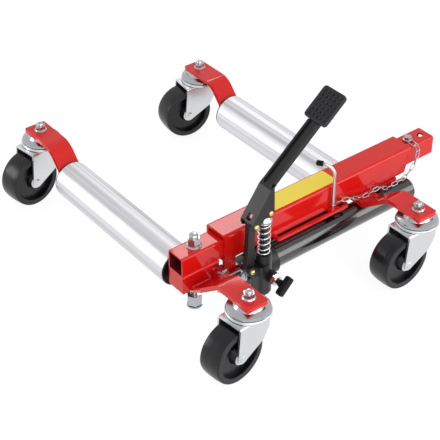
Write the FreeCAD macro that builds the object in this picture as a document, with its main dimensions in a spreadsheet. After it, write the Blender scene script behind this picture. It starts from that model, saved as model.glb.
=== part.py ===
"""Vehicle positioning jack: a foot-pumped wheel dolly on four casters, every piece its own body.

Sizes in millimetres. X runs along the telescoping tube, Y along the rollers, Z up from the floor.
Each piece is drawn from the sleeve's left end on the tube's axis, then shifted to the shared frame.
"""
import FreeCAD, Part
import math
import os
import re
import Sketcher

V = FreeCAD.Vector
doc = FreeCAD.newDocument("vehicle_positioning_jack")
dim = doc.addObject("Spreadsheet::Sheet", "dim")

SIZES = (
    ("frame_x", "-174", "shift of the sleeve's left end to the shared frame"),
    ("frame_y", "-150", "shift of the tube's axis to the shared frame"),
    ("sleeve_length", "431", "outer tube, along its top"),
    ("sleeve_wall", "5", "outer tube wall"),
    ("sleeve_bottom", "96.4", "underside of the outer tube"),
    ("sleeve_corner", "6", "outer corner radius of the outer tube"),
    ("sleeve_rake", "12", "how much shorter the bottom is at the raked end"),
    ("inner_left", "-84", "open end of the inner tube"),
    ("inner_size", "38", "inner tube across and high"),
    ("inner_wall", "3", "inner tube wall"),
    ("inner_corner", "4", "outer corner radius of the inner tube"),
    ("inner_gap", "0.5", "inner tube above the sleeve's floor"),
    ("side_gap", "1", "inner tube to the sleeve's side walls"),
    ("roof_gap", "5.5", "inner tube to the sleeve's roof"),
    ("stub_reach", "64", "fixed tube beyond the sleeve"),
    ("stub_depth", "75", "fixed tube inside the sleeve"),
    ("stub_clear", "20", "inner tube's end to the fixed tube"),
    ("stub_height", "38", "fixed tube, bottom to top"),
    ("stub_wall", "4", "fixed tube wall"),
    ("stub_hole_edge", "16", "lock pin hole from the open end"),
    ("stub_hole_radius", "6.75", "lock pin hole"),
    ("plate_width", "42", "bracket plates along X"),
    ("plate_thick", "8", "bracket plates"),
    ("plate_top", "140", "caster seats of the brackets"),
    ("plate_corner", "3", "corners of the caster seats"),
    ("plate_bend", "6", "inner bend radius of the plates"),
    ("far_bend_radius", "34", "inner radius of the far plates' wide bend"),
    ("caster_margin", "23", "caster bolt to the plate's outer edge"),
    ("near_caster_y", "-157", "near caster bolts"),
    ("far_caster_run", "97.5", "far caster bolts beyond the far hangers"),
    ("near_bend_y", "-103", "near plates bend down here"),
    ("near_foot_y", "-45", "right near plate turns level again here"),
    ("left_foot_z", "73", "left near plate meets the axle block here"),
    ("left_foot_left", "-66", "left near plate on the axle block, left edge"),
    ("left_foot_right", "-27", "left near plate on the axle block, right edge"),
    ("left_taper_y", "-60", "left near plate narrows from here to the block"),
    ("hanger_y", "22", "outer face of the right hanger"),
    ("hanger_bottom", "62", "lowest edge of the roller hangers"),
    ("far_bend_run", "32", "bend of the far plates beyond the far hangers"),
    ("far_knee_z", "104", "far plates turn upright here"),
    ("left_roller_x", "-58", "left roller axis"),
    ("right_roller_x", "316", "right roller axis"),
    ("roller_z", "83", "roller axes"),
    ("roller_radius", "35", "roller tubes"),
    ("roller_wall", "4", "roller tubes"),
    ("roller_start", "29", "near end of the rollers"),
    ("roller_length", "327", "rollers"),
    ("cap_depth", "16", "roller end caps inside the tube"),
    ("cap_flange", "3", "roller end caps outside the tube"),
    ("cap_lip", "1", "roller tube stands proud of the cap flange"),
    ("axle_radius", "10", "roller axles"),
    ("axle_overhang", "2", "roller axles beyond the far hangers"),
    ("running_gap", "0.05", "radial clearance of turning and sliding fits"),
    ("seat_gap", "0.2", "clearance of round seats that do not move"),
    ("block_length", "76", "axle block along X"),
    ("block_bottom", "66.7", "underside of the axle block"),
    ("block_bore_end", "6.5", "blind end of the axle hole in the block"),
    ("arm_bolt_x", "-46", "vertical bolt through tube and block"),
    ("arm_bolt_radius", "5", "vertical bolt shank"),
    ("bolt_tail", "12", "lower end of the vertical bolt"),
    ("tail_nut_flats", "24", "nut on the bolt's lower end"),
    ("tail_nut_height", "20", "nut on the bolt's lower end"),
    ("tail_washer", "14", "washer under the lower nut, radius"),
    ("ram_y", "-31", "ram axis"),
    ("ram_z", "66", "ram axis"),
    ("ram_radius", "22", "ram cylinder"),
    ("ram_bore", "18", "ram cylinder bore"),
    ("ram_start", "50", "end of the cylinder inside the pump casting"),
    ("ram_end", "420", "right end of the cylinder"),
    ("rod_radius", "9", "piston rod"),
    ("rod_end", "396", "piston end of the rod"),
    ("piston_length", "20", "piston"),
    ("eye_x", "-12", "draw pin axis"),
    ("eye_radius", "11.5", "eye of the piston rod"),
    ("eye_height", "22", "eye of the piston rod"),
    ("draw_pin_radius", "6", "draw pin shank"),
    ("lug_bottom", "78", "drawbar lug"),
    ("lug_thick", "12", "drawbar lug"),
    ("lug_radius", "12", "round end of the drawbar lug"),
    ("gusset_left", "2", "left edge of the gusset under the sleeve"),
    ("gusset_right", "26", "right edge of the gusset under the sleeve"),
    ("gusset_bottom", "62", "lower edge of the gusset under the sleeve"),
    ("gusset_thick", "6", "gusset under the sleeve"),
    ("rod_clear", "0.6", "piston rod to the gusset"),
    ("spine_left", "98", "left end of the bar on the ram"),
    ("spine_right", "272", "right end of the bar on the ram"),
    ("spine_near", "-26.5", "near face of the bar on the ram"),
    ("spine_far", "-13", "far face of the bar on the ram"),
    ("saddle_x", "360", "left face of the ram saddle"),
    ("saddle_length", "40", "ram saddle"),
    ("pump_y", "-62", "middle plane of pump, link and pedal"),
    ("pump_half", "15", "half width of the pump casting and the pedal channel"),
    ("pump_left", "34", "left face of the pump casting"),
    ("pump_right", "58", "right face of the pump casting"),
    ("pump_bottom", "34", "underside of the pump casting"),
    ("pump_top", "99", "top face of the pump casting"),
    ("seat_top", "117", "spring seat on the casting"),
    ("seat_radius", "14.5", "pump barrel with the spring seat"),
    ("barrel_bottom", "38", "lower end of the pump barrel"),
    ("socket_radius", "27", "collar round the ram"),
    ("socket_left", "38", "left face of the collar"),
    ("socket_right", "94", "right face of the collar"),
    ("foot_far", "20", "far edge of the casting's mounting foot"),
    ("foot_thick", "9", "casting's mounting foot"),
    ("plunger_x", "52", "plunger axis"),
    ("plunger_radius", "7", "plunger"),
    ("plunger_bottom", "66", "lower end of the plunger"),
    ("plunger_pin_z", "206.5", "pin through plunger and pedal"),
    ("pin_radius", "3.5", "pump linkage pins"),
    ("pin_head", "4.9", "pump linkage pin heads"),
    ("pin_slack", "1.2", "radial play of the plunger pin in the pedal"),
    ("fulcrum_x", "22.3", "upper link pin"),
    ("fulcrum_z", "192", "upper link pin"),
    ("link_x", "20", "lower link pin"),
    ("link_z", "97", "lower link pin"),
    ("link_half_width", "8", "half width of the link"),
    ("link_top", "6.4", "upper end radius of the link"),
    ("link_thick", "10", "link"),
    ("ear_gap", "0.4", "link to the ears of the casting"),
    ("ear_thick", "5", "ears of the casting"),
    ("spring_wire", "2.6", "return spring wire"),
    ("spring_mean", "10.3", "return spring mean radius"),
    ("spring_top", "183", "upper end of the return spring"),
    ("spring_turns", "5", "return spring"),
    ("spring_cap_thick", "4", "spring cap on the plunger"),
    ("valve_x", "58.5", "release valve axis"),
    ("valve_z", "71", "release valve axis"),
    ("knob_y", "-110", "middle of the release knob's bar"),
    ("knob_length", "36", "release knob's bar"),
    ("knob_thick", "13", "release knob's bar"),
    ("knob_tilt", "46", "release knob's bar from level"),
    ("channel_x", "14.7", "lower end of the pedal channel"),
    ("channel_z", "198", "lower end of the pedal channel"),
    ("bend_x", "52", "pedal bend"),
    ("bend_z", "250.5", "pedal bend"),
    ("arm_end_x", "152", "upper end of the pedal arm"),
    ("arm_end_z", "333.5", "upper end of the pedal arm"),
    ("pedal_wall", "3", "pedal channel walls"),
    ("pedal_web", "2.5", "pedal channel web"),
    ("web_hole_start", "3", "window in the pedal web, from the web's lower end"),
    ("web_hole_length", "12", "window in the pedal web along the channel"),
    ("web_hole_width", "10", "window in the pedal web across"),
    ("pedal_arm_half", "11.5", "half width of the pedal arm"),
    ("pedal_rib", "4", "ribs along the pedal arm"),
    ("pad_length", "60", "pedal pad along the arm"),
    ("pad_width", "50", "pedal pad across"),
    ("pad_plate", "4", "steel plate under the pad"),
    ("pad_thick", "5", "rubber pad"),
    ("pad_bump", "4.6", "grip studs on the pad"),
    ("pad_bump_height", "2", "grip studs on the pad"),
    ("pad_rows", "6", "grip studs along the pad"),
    ("pad_columns", "5", "grip studs across the pad"),
    ("pad_pitch", "8.8", "grip stud spacing"),
    ("pad_corner", "6", "pad corners"),
    ("rail_left", "103", "left end of the pin rail"),
    ("rail_right", "268", "right end of the pin rail"),
    ("rail_top", "106", "top of the pin rail"),
    ("rail_height", "5.5", "pin rail's bar"),
    ("rail_corner", "7", "pin rail's outer corners"),
    ("seat_length", "20", "seat of the lock pin in the rail"),
    ("lock_foot", "5", "lock pin below its seat"),
    ("rail_reach", "16", "pin rail out from the sleeve"),
    ("rail_wall", "5", "pin rail"),
    ("lock_x", "237", "lock pin in the rail"),
    ("lock_radius", "3", "lock pin"),
    ("lock_bend_z", "174", "lock pin bends over from here"),
    ("lock_bend_radius", "21", "lock pin bend"),
    ("lock_reach", "30", "lock pin handle from the upright's axis"),
    ("lock_heading", "125", "direction of the lock pin's handle"),
    ("lock_cap_radius", "5", "cap on the lock pin's handle"),
    ("lock_cap_length", "12", "cap on the lock pin's handle"),
    ("chain_wire", "1.8", "tether chain wire"),
    ("chain_pitch", "12", "tether chain"),
    ("ring_wire", "1.5", "ring of the chain round the lock pin"),
    ("chain_width", "7.5", "tether chain links across"),
    ("chain_bolt_out", "16.5", "chain bolt beyond the sleeve"),
    ("wheel_radius", "51.3", "caster wheels"),
    ("wheel_width", "42", "caster wheels"),
    ("wheel_shoulder", "2.4", "caster wheel edge rounding"),
    ("tread_edge", "49.8", "caster wheels at the edge of the tread"),
    ("tread_flat", "7", "half of the level part of the tread"),
    ("tread_crown", "50.8", "caster wheels midway to the edge of the tread"),
    ("hub_washer", "13", "washers beside the wheel hubs, radius"),
    ("hub_radius", "17", "raised hub of the wheels"),
    ("web_inset", "9", "recessed disc of the wheels"),
    ("rim_inner", "38", "recessed disc of the wheels"),
    ("trail", "37", "caster axle behind the swivel axis"),
    ("fork_half", "26", "half width of the caster forks"),
    ("fork_wall", "3.5", "caster forks"),
    ("crown_thick", "4", "fork crowns"),
    ("fork_front", "22", "front edge of the forks from the swivel axis"),
    ("fork_back", "5", "rear edge of the fork crowns behind the axle"),
    ("fork_boss", "10", "round lower ends of the fork legs"),
    ("fork_shoulder", "87", "front edge of the fork legs turns back here"),
    ("fork_knee", "64", "front edge of the fork legs turns to the axle here"),
    ("axle_flats", "11", "caster axle hexagons across flats"),
    ("axle_head", "2.6", "caster axle hexagons"),
    ("fork_crown", "114", "top of the fork crown"),
    ("race_top", "119", "top of the turning race"),
    ("race_gap", "0.4", "between the two races"),
    ("race_radius", "36", "caster races"),
    ("stem_radius", "6", "caster bolts"),
    ("wheel_axle", "5", "caster axle bolts"),
    ("near_left_turn", "5.7", "near left caster heading"),
    ("near_right_turn", "0", "near right caster heading"),
    ("far_left_turn", "7.6", "far left caster heading"),
    ("far_right_turn", "-8.3", "far right caster heading"),
    ("arm_nut_flats", "19", "arm nut across flats"),
    ("arm_nut_flange", "13", "arm nut flange, radius"),
    ("arm_nut_height", "15", "arm nut above its flange"),
    ("arm_nut_dome", "8", "dome of the arm nut, radius and rise"),
    ("caster_nut_flats", "17", "caster nuts across flats"),
    ("caster_nut_flange", "11.5", "caster nut flanges, radius"),
    ("caster_nut_height", "7", "caster nuts above their flanges"),
    ("caster_nut_dome", "6", "domes of the caster nuts, radius and rise"),
    ("nut_flange_thick", "3.5", "flanges of the domed nuts"),
    ("bolt_flats", "13", "small bolts across flats"),
    ("bolt_head", "6", "small bolt heads"),
)
FITTED = (
    ("sleeve_width", "=inner_size + 2*(side_gap + sleeve_wall)", "outer tube across"),
    ("sleeve_height", "=inner_gap + inner_size + roof_gap + 2*sleeve_wall", "outer tube, bottom to top"),
    ("stub_start", "=sleeve_length - stub_depth", "end of the fixed tube inside the sleeve"),
    ("stub_end", "=sleeve_length + stub_reach", "open end of the fixed tube"),
    ("stub_hole_x", "=stub_end - stub_hole_edge", "lock pin hole"),
    ("chain_bolt_x", "=sleeve_length + chain_bolt_out", "chain bolt on the fixed tube"),
    ("inner_length", "=stub_start - stub_clear - inner_left", "inner tube"),
    ("far_tab_y", "=roller_start + roller_length + cap_flange - 1", "roller side of the far hangers"),
    ("far_bend_y", "=far_tab_y + far_bend_run", "far plates bend down here"),
    ("far_caster_y", "=far_tab_y + far_caster_run", "far caster bolts"),
)
for row, (alias, size, note) in enumerate(SIZES + FITTED, start=1):
    dim.set("A%d" % row, alias)
    dim.set("B%d" % row, size)
    dim.setAlias("B%d" % row, alias)
    dim.set("C%d" % row, note)
doc.recompute()

FUNCTIONS = ("tan", "atan", "sqrt", "deg")
NODES = []


def bind(formula):
    """Expression for a formula written with plain size names."""
    def named(match):
        word = match.group(0)
        return word if word in FUNCTIONS else "dim." + word
    return re.sub(r"[a-z][a-z0-9_]*", named, formula)


def size(alias):
    """Plain number held by one cell of the sheet."""
    return float(dim.get(alias))


def place(piece, x="0", y="0", z="0", turn=None):
    """Put a piece in the shared frame; the position is counted from the sleeve's left end."""
    if turn is not None:
        piece.Placement = FreeCAD.Placement(V(0, 0, 0), turn)
    piece.setExpression("Placement.Base.x", bind("frame_x + " + x))
    piece.setExpression("Placement.Base.y", bind("frame_y + " + y))
    piece.setExpression("Placement.Base.z", bind(z))


def node(piece, label):
    """Name a piece and list it for export."""
    piece.Label = label
    NODES.append(piece)
    return piece


def new_body(label, listed=True):
    body = doc.addObject("PartDesign::Body", label)
    body.Label = label
    if listed:
        NODES.append(body)
    return body


def sketch(body, plane, offset, loops):
    """Sketch on one of the body's own planes; a loop is a ring of corners or (x, y, radius)."""
    drawing = body.newObject("Sketcher::SketchObject", "Outline")
    support = next(face for face in body.Origin.OriginFeatures if face.Role == plane)
    drawing.AttachmentSupport = [(support, "")]
    drawing.MapMode = "FlatFace"
    drawing.setExpression("AttachmentOffset.Base.z", bind(offset))

    def pin_down(kind, geometry, point, formula):
        index = drawing.addConstraint(Sketcher.Constraint(kind, -1, 1, geometry, point, 1.0))
        drawing.setExpression("Constraints[%d]" % index, bind(formula))

    for loop in loops:
        first = drawing.GeometryCount
        if isinstance(loop, tuple):
            drawing.addGeometry(Part.Circle(V(1, 1, 0), V(0, 0, 1), 1.0))
            pin_down("DistanceX", first, 3, loop[0])
            pin_down("DistanceY", first, 3, loop[1])
            index = drawing.addConstraint(Sketcher.Constraint("Radius", first, 1.0))
            drawing.setExpression("Constraints[%d]" % index, bind(loop[2]))
            continue
        count = len(loop)
        around = [2 * math.pi * step / count for step in range(count)]
        start = [V(10 * math.cos(angle), 10 * math.sin(angle), 0) for angle in around]
        for step in range(count):
            drawing.addGeometry(Part.LineSegment(start[step], start[(step + 1) % count]))
        for step in range(count):
            follow = first + (step + 1) % count
            drawing.addConstraint(Sketcher.Constraint("Coincident", first + step, 2, follow, 1))
        for step, (across, up) in enumerate(loop):
            pin_down("DistanceX", first + step, 1, across)
            pin_down("DistanceY", first + step, 1, up)
    doc.recompute()
    return drawing


def slab(body, plane, middle, thick, *loops, cut=False):
    """Add or cut a slab that lies evenly either side of a middle height along the plane's axis."""
    sign = "-(%s)" if plane == "XZ_Plane" else "%s"
    drawing = sketch(body, plane, sign % middle, loops)
    feature = body.newObject("PartDesign::Pocket" if cut else "PartDesign::Pad", "Slab")
    feature.Profile = drawing
    feature.SideType = "Symmetric"
    feature.setExpression("Length", bind(thick))
    doc.recompute()
    return feature


def spin(body, outline):
    """Turn a half outline of (radius, height) corners about the body's own Z axis."""
    drawing = sketch(body, "XZ_Plane", "0", [outline])
    feature = body.newObject("PartDesign::Revolution", "Turned")
    feature.Profile = drawing
    feature.ReferenceAxis = (drawing, ["V_Axis"])
    feature.Angle = 360
    doc.recompute()
    return feature


def round_off(body, radius, wanted):
    """Fillet every edge of the body that answers the test."""
    base = body.Tip
    names = ["Edge%d" % number for number, edge in enumerate(base.Shape.Edges, start=1) if wanted(edge)]
    feature = body.newObject("PartDesign::Fillet", "Rounded")
    feature.Base = (base, names)
    feature.setExpression("Radius", bind(radius))
    doc.recompute()


def bevel(body, depth, wanted):
    """Chamfer every edge of the body that answers the test."""
    base = body.Tip
    names = ["Edge%d" % number for number, edge in enumerate(base.Shape.Edges, start=1) if wanted(edge)]
    feature = body.newObject("PartDesign::Chamfer", "Bevelled")
    feature.Base = (base, names)
    feature.Size = depth
    doc.recompute()


def runs(edge, axis):
    """True for a straight edge parallel to one axis (0, 1 or 2)."""
    if edge.Curve.TypeId != "Part::GeomLine":
        return False
    run = edge.Vertexes[1].Point - edge.Vertexes[0].Point
    return abs(abs(run[axis]) - run.Length) < 1e-6


def rim(edge, radius, height=None):
    """True for a full circle of the given radius, and at the given height where one is stated."""
    if edge.Curve.TypeId != "Part::GeomCircle" or len(edge.Vertexes) != 1:
        return False
    level = height is None or abs(edge.CenterOfMass.z - height) < 1e-4
    return level and abs(edge.Curve.Radius - radius) < 1e-4


def box(left, right, low, high):
    """Corners of a rectangle from four formulas."""
    return [(left, low), (right, low), (right, high), (left, high)]


def hexagon(flats):
    """Corners of a hexagon from its size across flats."""
    corner = "(%s)/sqrt(3)" % flats
    half = "(%s)/2" % flats
    mid = "(%s)/(2*sqrt(3))" % flats
    return [(corner, "0"), (mid, half), ("-" + mid, half),
            ("-" + corner, "0"), ("-" + mid, "-" + half), (mid, "-" + half)]


def group(label, pieces):
    """One node made of several like solids."""
    together = doc.addObject("Part::Compound", label)
    together.Links = pieces
    doc.recompute()
    return node(together, label)


ALONG_Y = FreeCAD.Rotation(V(1, 0, 0), -90)
ALONG_X = FreeCAD.Rotation(V(0, 1, 0), 90)
UPSIDE_DOWN = FreeCAD.Rotation(V(1, 0, 0), 180)

# Telescoping tubes
SLEEVE_TOP = "(sleeve_bottom + sleeve_height)"
CAVITY_FLOOR = "(sleeve_bottom + sleeve_wall)"
CAVITY_TOP = "(sleeve_bottom + sleeve_height - sleeve_wall)"
INNER_BOTTOM = "(sleeve_bottom + sleeve_wall + inner_gap)"


def square_tube(label, left, right, width, bottom, top, wall, corner, inner_corner):
    """Open rectangular tube along X with rounded corners outside and in."""
    body = new_body(label)
    half = "(%s)/2" % width
    middle = "(%s + %s)/2" % (left, right)
    length = "%s - (%s)" % (right, left)
    slab(body, "YZ_Plane", middle, length, box("-" + half, half, bottom, top))
    round_off(body, corner, lambda edge: runs(edge, 0))
    inside = "(%s - %s)" % (half, wall)
    slab(body, "YZ_Plane", middle, length,
         box("-" + inside, inside, "%s + %s" % (bottom, wall), "%s - %s" % (top, wall)), cut=True)
    reach = body.Shape.BoundBox.YMax
    depth = size(wall)
    round_off(body, inner_corner, lambda edge: runs(edge, 0)
              and abs(abs(edge.CenterOfMass.y) - (reach - depth)) < 1e-4)
    return body


sleeve = square_tube("sleeve_tube", "0", "sleeve_length", "sleeve_width", "sleeve_bottom", SLEEVE_TOP,
                     "sleeve_wall", "sleeve_corner", "sleeve_corner - sleeve_wall")
slab(sleeve, "XZ_Plane", "0", "sleeve_width + 10",
     [("sleeve_length", SLEEVE_TOP), ("sleeve_length + 5", SLEEVE_TOP),
      ("sleeve_length + 5", "sleeve_bottom - 5"), ("sleeve_length - sleeve_rake", "sleeve_bottom - 5"),
      ("sleeve_length - sleeve_rake", "sleeve_bottom")], cut=True)
place(sleeve)

inner = square_tube("inner_tube", "inner_left", "(inner_left + inner_length)", "inner_size",
                    INNER_BOTTOM, INNER_BOTTOM + " + inner_size", "inner_wall", "inner_corner", "1")
slab(inner, "XY_Plane", INNER_BOTTOM + " + inner_size/2", "inner_size + 4",
     ("arm_bolt_x", "0", "arm_bolt_radius + running_gap"), cut=True)
place(inner)

stub = square_tube("stub_tube", "stub_start", "stub_end", "(sleeve_width - 2*sleeve_wall)",
                   CAVITY_TOP + " - stub_height", CAVITY_TOP, "stub_wall", "inner_corner", "1")
slab(stub, "XY_Plane", CAVITY_TOP + " - stub_height/2", "stub_height + 4",
     ("stub_hole_x", "0", "stub_hole_radius"), cut=True)
slab(stub, "XY_Plane", CAVITY_TOP, "3*stub_wall",
     ("chain_bolt_x", "0", "pin_radius + running_gap"), cut=True)
place(stub)

# Bent plates that carry the casters and the roller axles
NEAR_FOLD = "plate_thick*tan(atan((plate_top - sleeve_bottom)/(near_foot_y - near_bend_y))/2)"
FAR_SLOPE = "atan((plate_top - far_knee_z)/(far_bend_y - far_tab_y))"
FAR_FOLD = "plate_thick*tan(%s/2)" % FAR_SLOPE
FAR_KNEE = "plate_thick*tan((90 deg - %s)/2)" % FAR_SLOPE


def seat_corners(body, outer_edge):
    """Round the two free corners of a caster seat."""
    round_off(body, "plate_corner", lambda edge: runs(edge, 2)
              and abs(edge.CenterOfMass.y - outer_edge) < 1e-4)


def fold(body, inner_radius, bends):
    """Round folds of a plate: each bend is (y, z, outer side or not)."""
    for outer in (True, False):
        spots = [(y, z) for y, z, is_outer in bends if is_outer == outer]
        radius = inner_radius + " + plate_thick" if outer else inner_radius
        round_off(body, radius, lambda edge: runs(edge, 0) and any(
            abs(edge.CenterOfMass.y - y) < 1e-3 and abs(edge.CenterOfMass.z - z) < 1e-3
            for y, z in spots))


def corner_points(body):
    """Corners of a plate's side profile as (y, z)."""
    return {(round(v.Point.y, 3), round(v.Point.z, 3)) for v in body.Shape.Vertexes}


def caster_hole(body, axis_x, caster_y):
    slab(body, "XY_Plane", "plate_top - plate_thick/2", "plate_thick + 4",
         (axis_x, caster_y, "stem_radius + running_gap"), cut=True)


def right_near_bracket():
    """Near plate of the fixed side: caster seat, slope, level foot under the sleeve, roller hanger."""
    body = new_body("right_near_bracket")
    axis_x = "right_roller_x"
    foot_bottom = "sleeve_bottom - plate_thick"
    outer_edge = "near_caster_y - caster_margin"
    slab(body, "YZ_Plane", axis_x, "plate_width",
         [(outer_edge, "plate_top"), ("near_bend_y", "plate_top"), ("near_foot_y", "sleeve_bottom"),
          ("hanger_y", "sleeve_bottom"), ("hanger_y", "hanger_bottom"),
          ("hanger_y - plate_thick", "hanger_bottom"), ("hanger_y - plate_thick", foot_bottom),
          ("near_foot_y - " + NEAR_FOLD, foot_bottom),
          ("near_bend_y - " + NEAR_FOLD, "plate_top - plate_thick"),
          (outer_edge, "plate_top - plate_thick")])
    corners = corner_points(body)
    top = size("plate_top")
    foot = size("sleeve_bottom")
    thick = size("plate_thick")
    upper_inner = next(y for y, z in corners if abs(z - top + thick) < 1e-3
                       and y > size("near_caster_y"))
    lower_outer = min(y for y, z in corners if abs(z - foot + thick) < 1e-3)
    fold(body, "plate_bend", [(size("near_bend_y"), top, True), (upper_inner, top - thick, False),
                              (size("near_foot_y"), foot, False), (lower_outer, foot - thick, True)])
    seat_corners(body, size("near_caster_y") - size("caster_margin"))
    low = size("hanger_bottom")
    round_off(body, "plate_width/2 - 2", lambda edge: runs(edge, 1)
              and abs(edge.CenterOfMass.z - low) < 1e-4)
    slab(body, "XZ_Plane", "hanger_y - plate_thick/2", "plate_thick + 4",
         (axis_x, "roller_z", "axle_radius + running_gap"), cut=True)
    caster_hole(body, axis_x, "near_caster_y")
    place(body)


def left_near_bracket():
    """Near plate of the sliding side: caster seat and a slope that narrows to the axle block's side."""
    body = new_body("left_near_bracket")
    axis_x = "left_roller_x"
    outer_edge = "near_caster_y - caster_margin"
    left = "(left_roller_x - plate_width/2)"
    right = "(left_roller_x + plate_width/2)"
    far = "(left_roller_x + 2*plate_width)"
    block_side = "-inner_size/2"
    slope = "((plate_top - left_foot_z)/(-inner_size/2 - near_bend_y))"
    end_thick = "plate_thick*sqrt(1 + %s^2)" % slope
    slab(body, "YZ_Plane", axis_x, "2*plate_width",
         [(outer_edge, "plate_top"), ("near_bend_y", "plate_top"), (block_side, "left_foot_z"),
          (block_side, "left_foot_z - " + end_thick),
          ("near_bend_y - plate_thick*tan(atan(%s)/2)" % slope, "plate_top - plate_thick"),
          (outer_edge, "plate_top - plate_thick")])
    top = size("plate_top")
    thick = size("plate_thick")
    upper_inner = max(y for y, z in corner_points(body) if abs(z - top + thick) < 1e-3)
    fold(body, "plate_bend", [(size("near_bend_y"), top, True), (upper_inner, top - thick, False)])
    slab(body, "XY_Plane", "plate_top/2", "2*plate_top",
         [(right, outer_edge + " - 5"), (far, outer_edge + " - 5"), (far, block_side + " + 5"),
          ("left_foot_right", block_side + " + 5"), ("left_foot_right", block_side), (right, "near_bend_y")],
         cut=True)
    slab(body, "XY_Plane", "plate_top/2", "2*plate_top",
         [(left, outer_edge + " - 5"), (left, "left_taper_y"), ("left_foot_left", block_side),
          ("left_foot_left", block_side + " + 5"), (left + " - plate_width", block_side + " + 5"),
          (left + " - plate_width", outer_edge + " - 5")], cut=True)
    seat_corners(body, size("near_caster_y") - size("caster_margin"))
    caster_hole(body, axis_x, "near_caster_y")
    place(body)


def far_bracket(label, axis_x):
    """Far plate: caster seat, slope, upright hanger for the roller axle."""
    body = new_body(label)
    outer_edge = "far_caster_y + caster_margin"
    slab(body, "YZ_Plane", axis_x, "plate_width",
         [(outer_edge, "plate_top"), ("far_bend_y", "plate_top"), ("far_tab_y", "far_knee_z"),
          ("far_tab_y", "hanger_bottom"), ("far_tab_y + plate_thick", "hanger_bottom"),
          ("far_tab_y + plate_thick", "far_knee_z - " + FAR_KNEE),
          ("far_bend_y + " + FAR_FOLD, "plate_top - plate_thick"),
          (outer_edge, "plate_top - plate_thick")])
    top = size("plate_top")
    thick = size("plate_thick")
    tab = size("far_tab_y")
    knee = size("far_knee_z")
    points = corner_points(body)
    inner_bend = min(y for y, z in points if abs(z - top + thick) < 1e-3)
    inner_knee = max(z for y, z in points if abs(y - tab - thick) < 1e-3)
    fold(body, "far_bend_radius", [(size("far_bend_y"), top, True), (inner_bend, top - thick, False)])
    fold(body, "plate_bend", [(tab, knee, True), (tab + thick, inner_knee, False)])
    seat_corners(body, size("far_caster_y") + size("caster_margin"))
    low = size("hanger_bottom")
    round_off(body, "plate_width/2 - 2", lambda edge: runs(edge, 1)
              and abs(edge.CenterOfMass.z - low) < 1e-4)
    slab(body, "XZ_Plane", "far_tab_y + plate_thick/2", "plate_thick + 4",
         (axis_x, "roller_z", "axle_radius + running_gap"), cut=True)
    caster_hole(body, axis_x, "far_caster_y")
    place(body)


left_near_bracket()
right_near_bracket()
far_bracket("left_far_bracket", "left_roller_x")
far_bracket("right_far_bracket", "right_roller_x")

# Rollers: tube, two end caps that run on a fixed axle
AXLE_END = "(far_tab_y + plate_thick + axle_overhang)"
for side, axle_start in (("left", "block_bore_end"), ("right", "(hanger_y - plate_thick)")):
    axis_x = side + "_roller_x"
    axle = new_body(side + "_roller_axle")
    spin(axle, [("0", axle_start), ("axle_radius", axle_start), ("axle_radius", AXLE_END), ("0", AXLE_END)])
    bevel(axle, 1.0, lambda edge: rim(edge, size("axle_radius")))
    place(axle, axis_x, "0", "roller_z", ALONG_Y)
    tube = new_body(side + "_roller_tube")
    bore = "roller_radius - roller_wall"
    spin(tube, [(bore, "0"), ("roller_radius", "0"), ("roller_radius", "roller_length"),
                (bore, "roller_length")])
    bevel(tube, 1.0, lambda edge: rim(edge, size("roller_radius")))
    place(tube, axis_x, "roller_start", "roller_z", ALONG_Y)
    caps = []
    for end in ("near", "far"):
        cap = new_body("%s_%s_cap" % (side, end), listed=False)
        flange = "roller_radius - cap_lip"
        spin(cap, [("axle_radius + running_gap", "-cap_flange + 1"), ("axle_radius + 7", "-cap_flange + 1"),
                   ("axle_radius + 8", "-cap_flange + 2"), (flange + " - 4", "-cap_flange + 2"),
                   (flange + " - 3", "-cap_flange"), (flange + " - 1", "-cap_flange"),
                   (flange, "-cap_flange + 1"), (flange, "0"), (bore, "0"), (bore, "cap_depth"),
                   ("axle_radius + running_gap", "cap_depth")])
        if end == "near":
            place(cap, axis_x, "roller_start", "roller_z", ALONG_Y)
        else:
            place(cap, axis_x, "roller_start + roller_length", "roller_z", FreeCAD.Rotation(V(1, 0, 0), 90))
        caps.append(cap)
    group(side + "_roller_caps", caps)

# Axle block under the inner tube, with its bolt and domed nut
block = new_body("axle_block")
slab(block, "XY_Plane", "(block_bottom + %s)/2" % INNER_BOTTOM, INNER_BOTTOM + " - block_bottom",
     box("inner_left", "inner_left + block_length", "-inner_size/2", "inner_size/2"))
round_off(block, "2", lambda edge: runs(edge, 1) and edge.CenterOfMass.z < size("roller_z"))
slab(block, "XZ_Plane", "(block_bore_end + inner_size)/2", "inner_size - block_bore_end",
     ("left_roller_x", "roller_z", "axle_radius + running_gap"), cut=True)
slab(block, "XY_Plane", "roller_z", "3*inner_size",
     ("arm_bolt_x", "0", "arm_bolt_radius + running_gap"), cut=True)
place(block)


def domed_nut(body, base, kind):
    """Flange, hexagon and dome of a cap nut standing on a base height."""
    flats = kind + "_nut_flats"
    flange = kind + "_nut_flange"
    dome = kind + "_nut_dome"
    stack = "(nut_flange_thick + %s_nut_height)" % kind
    crown = "(%s + %s)" % (base, stack)
    spin(body, [("0", base), (flange, base), (flange, base + " + 1.5"),
                (flats + "/2 + 1", base + " + nut_flange_thick"), ("0", base + " + nut_flange_thick")])
    slab(body, "XY_Plane", "%s + %s/2" % (base, stack), stack, hexagon(flats))
    spin(body, [("0", crown), (dome, crown), (dome, crown + " + %s*0.4" % dome),
                (dome + "*0.83", crown + " + %s*0.75" % dome), (dome + "*0.5", crown + " + %s*0.95" % dome),
                ("0", crown + " + " + dome)])


arm_nut = new_body("arm_nut")
domed_nut(arm_nut, "0", "arm")
slab(arm_nut, "XY_Plane", "0", "2*arm_nut_height", ("0", "0", "arm_bolt_radius + running_gap"), cut=True)
place(arm_nut, "arm_bolt_x", "0", INNER_BOTTOM + " + inner_size")

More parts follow.
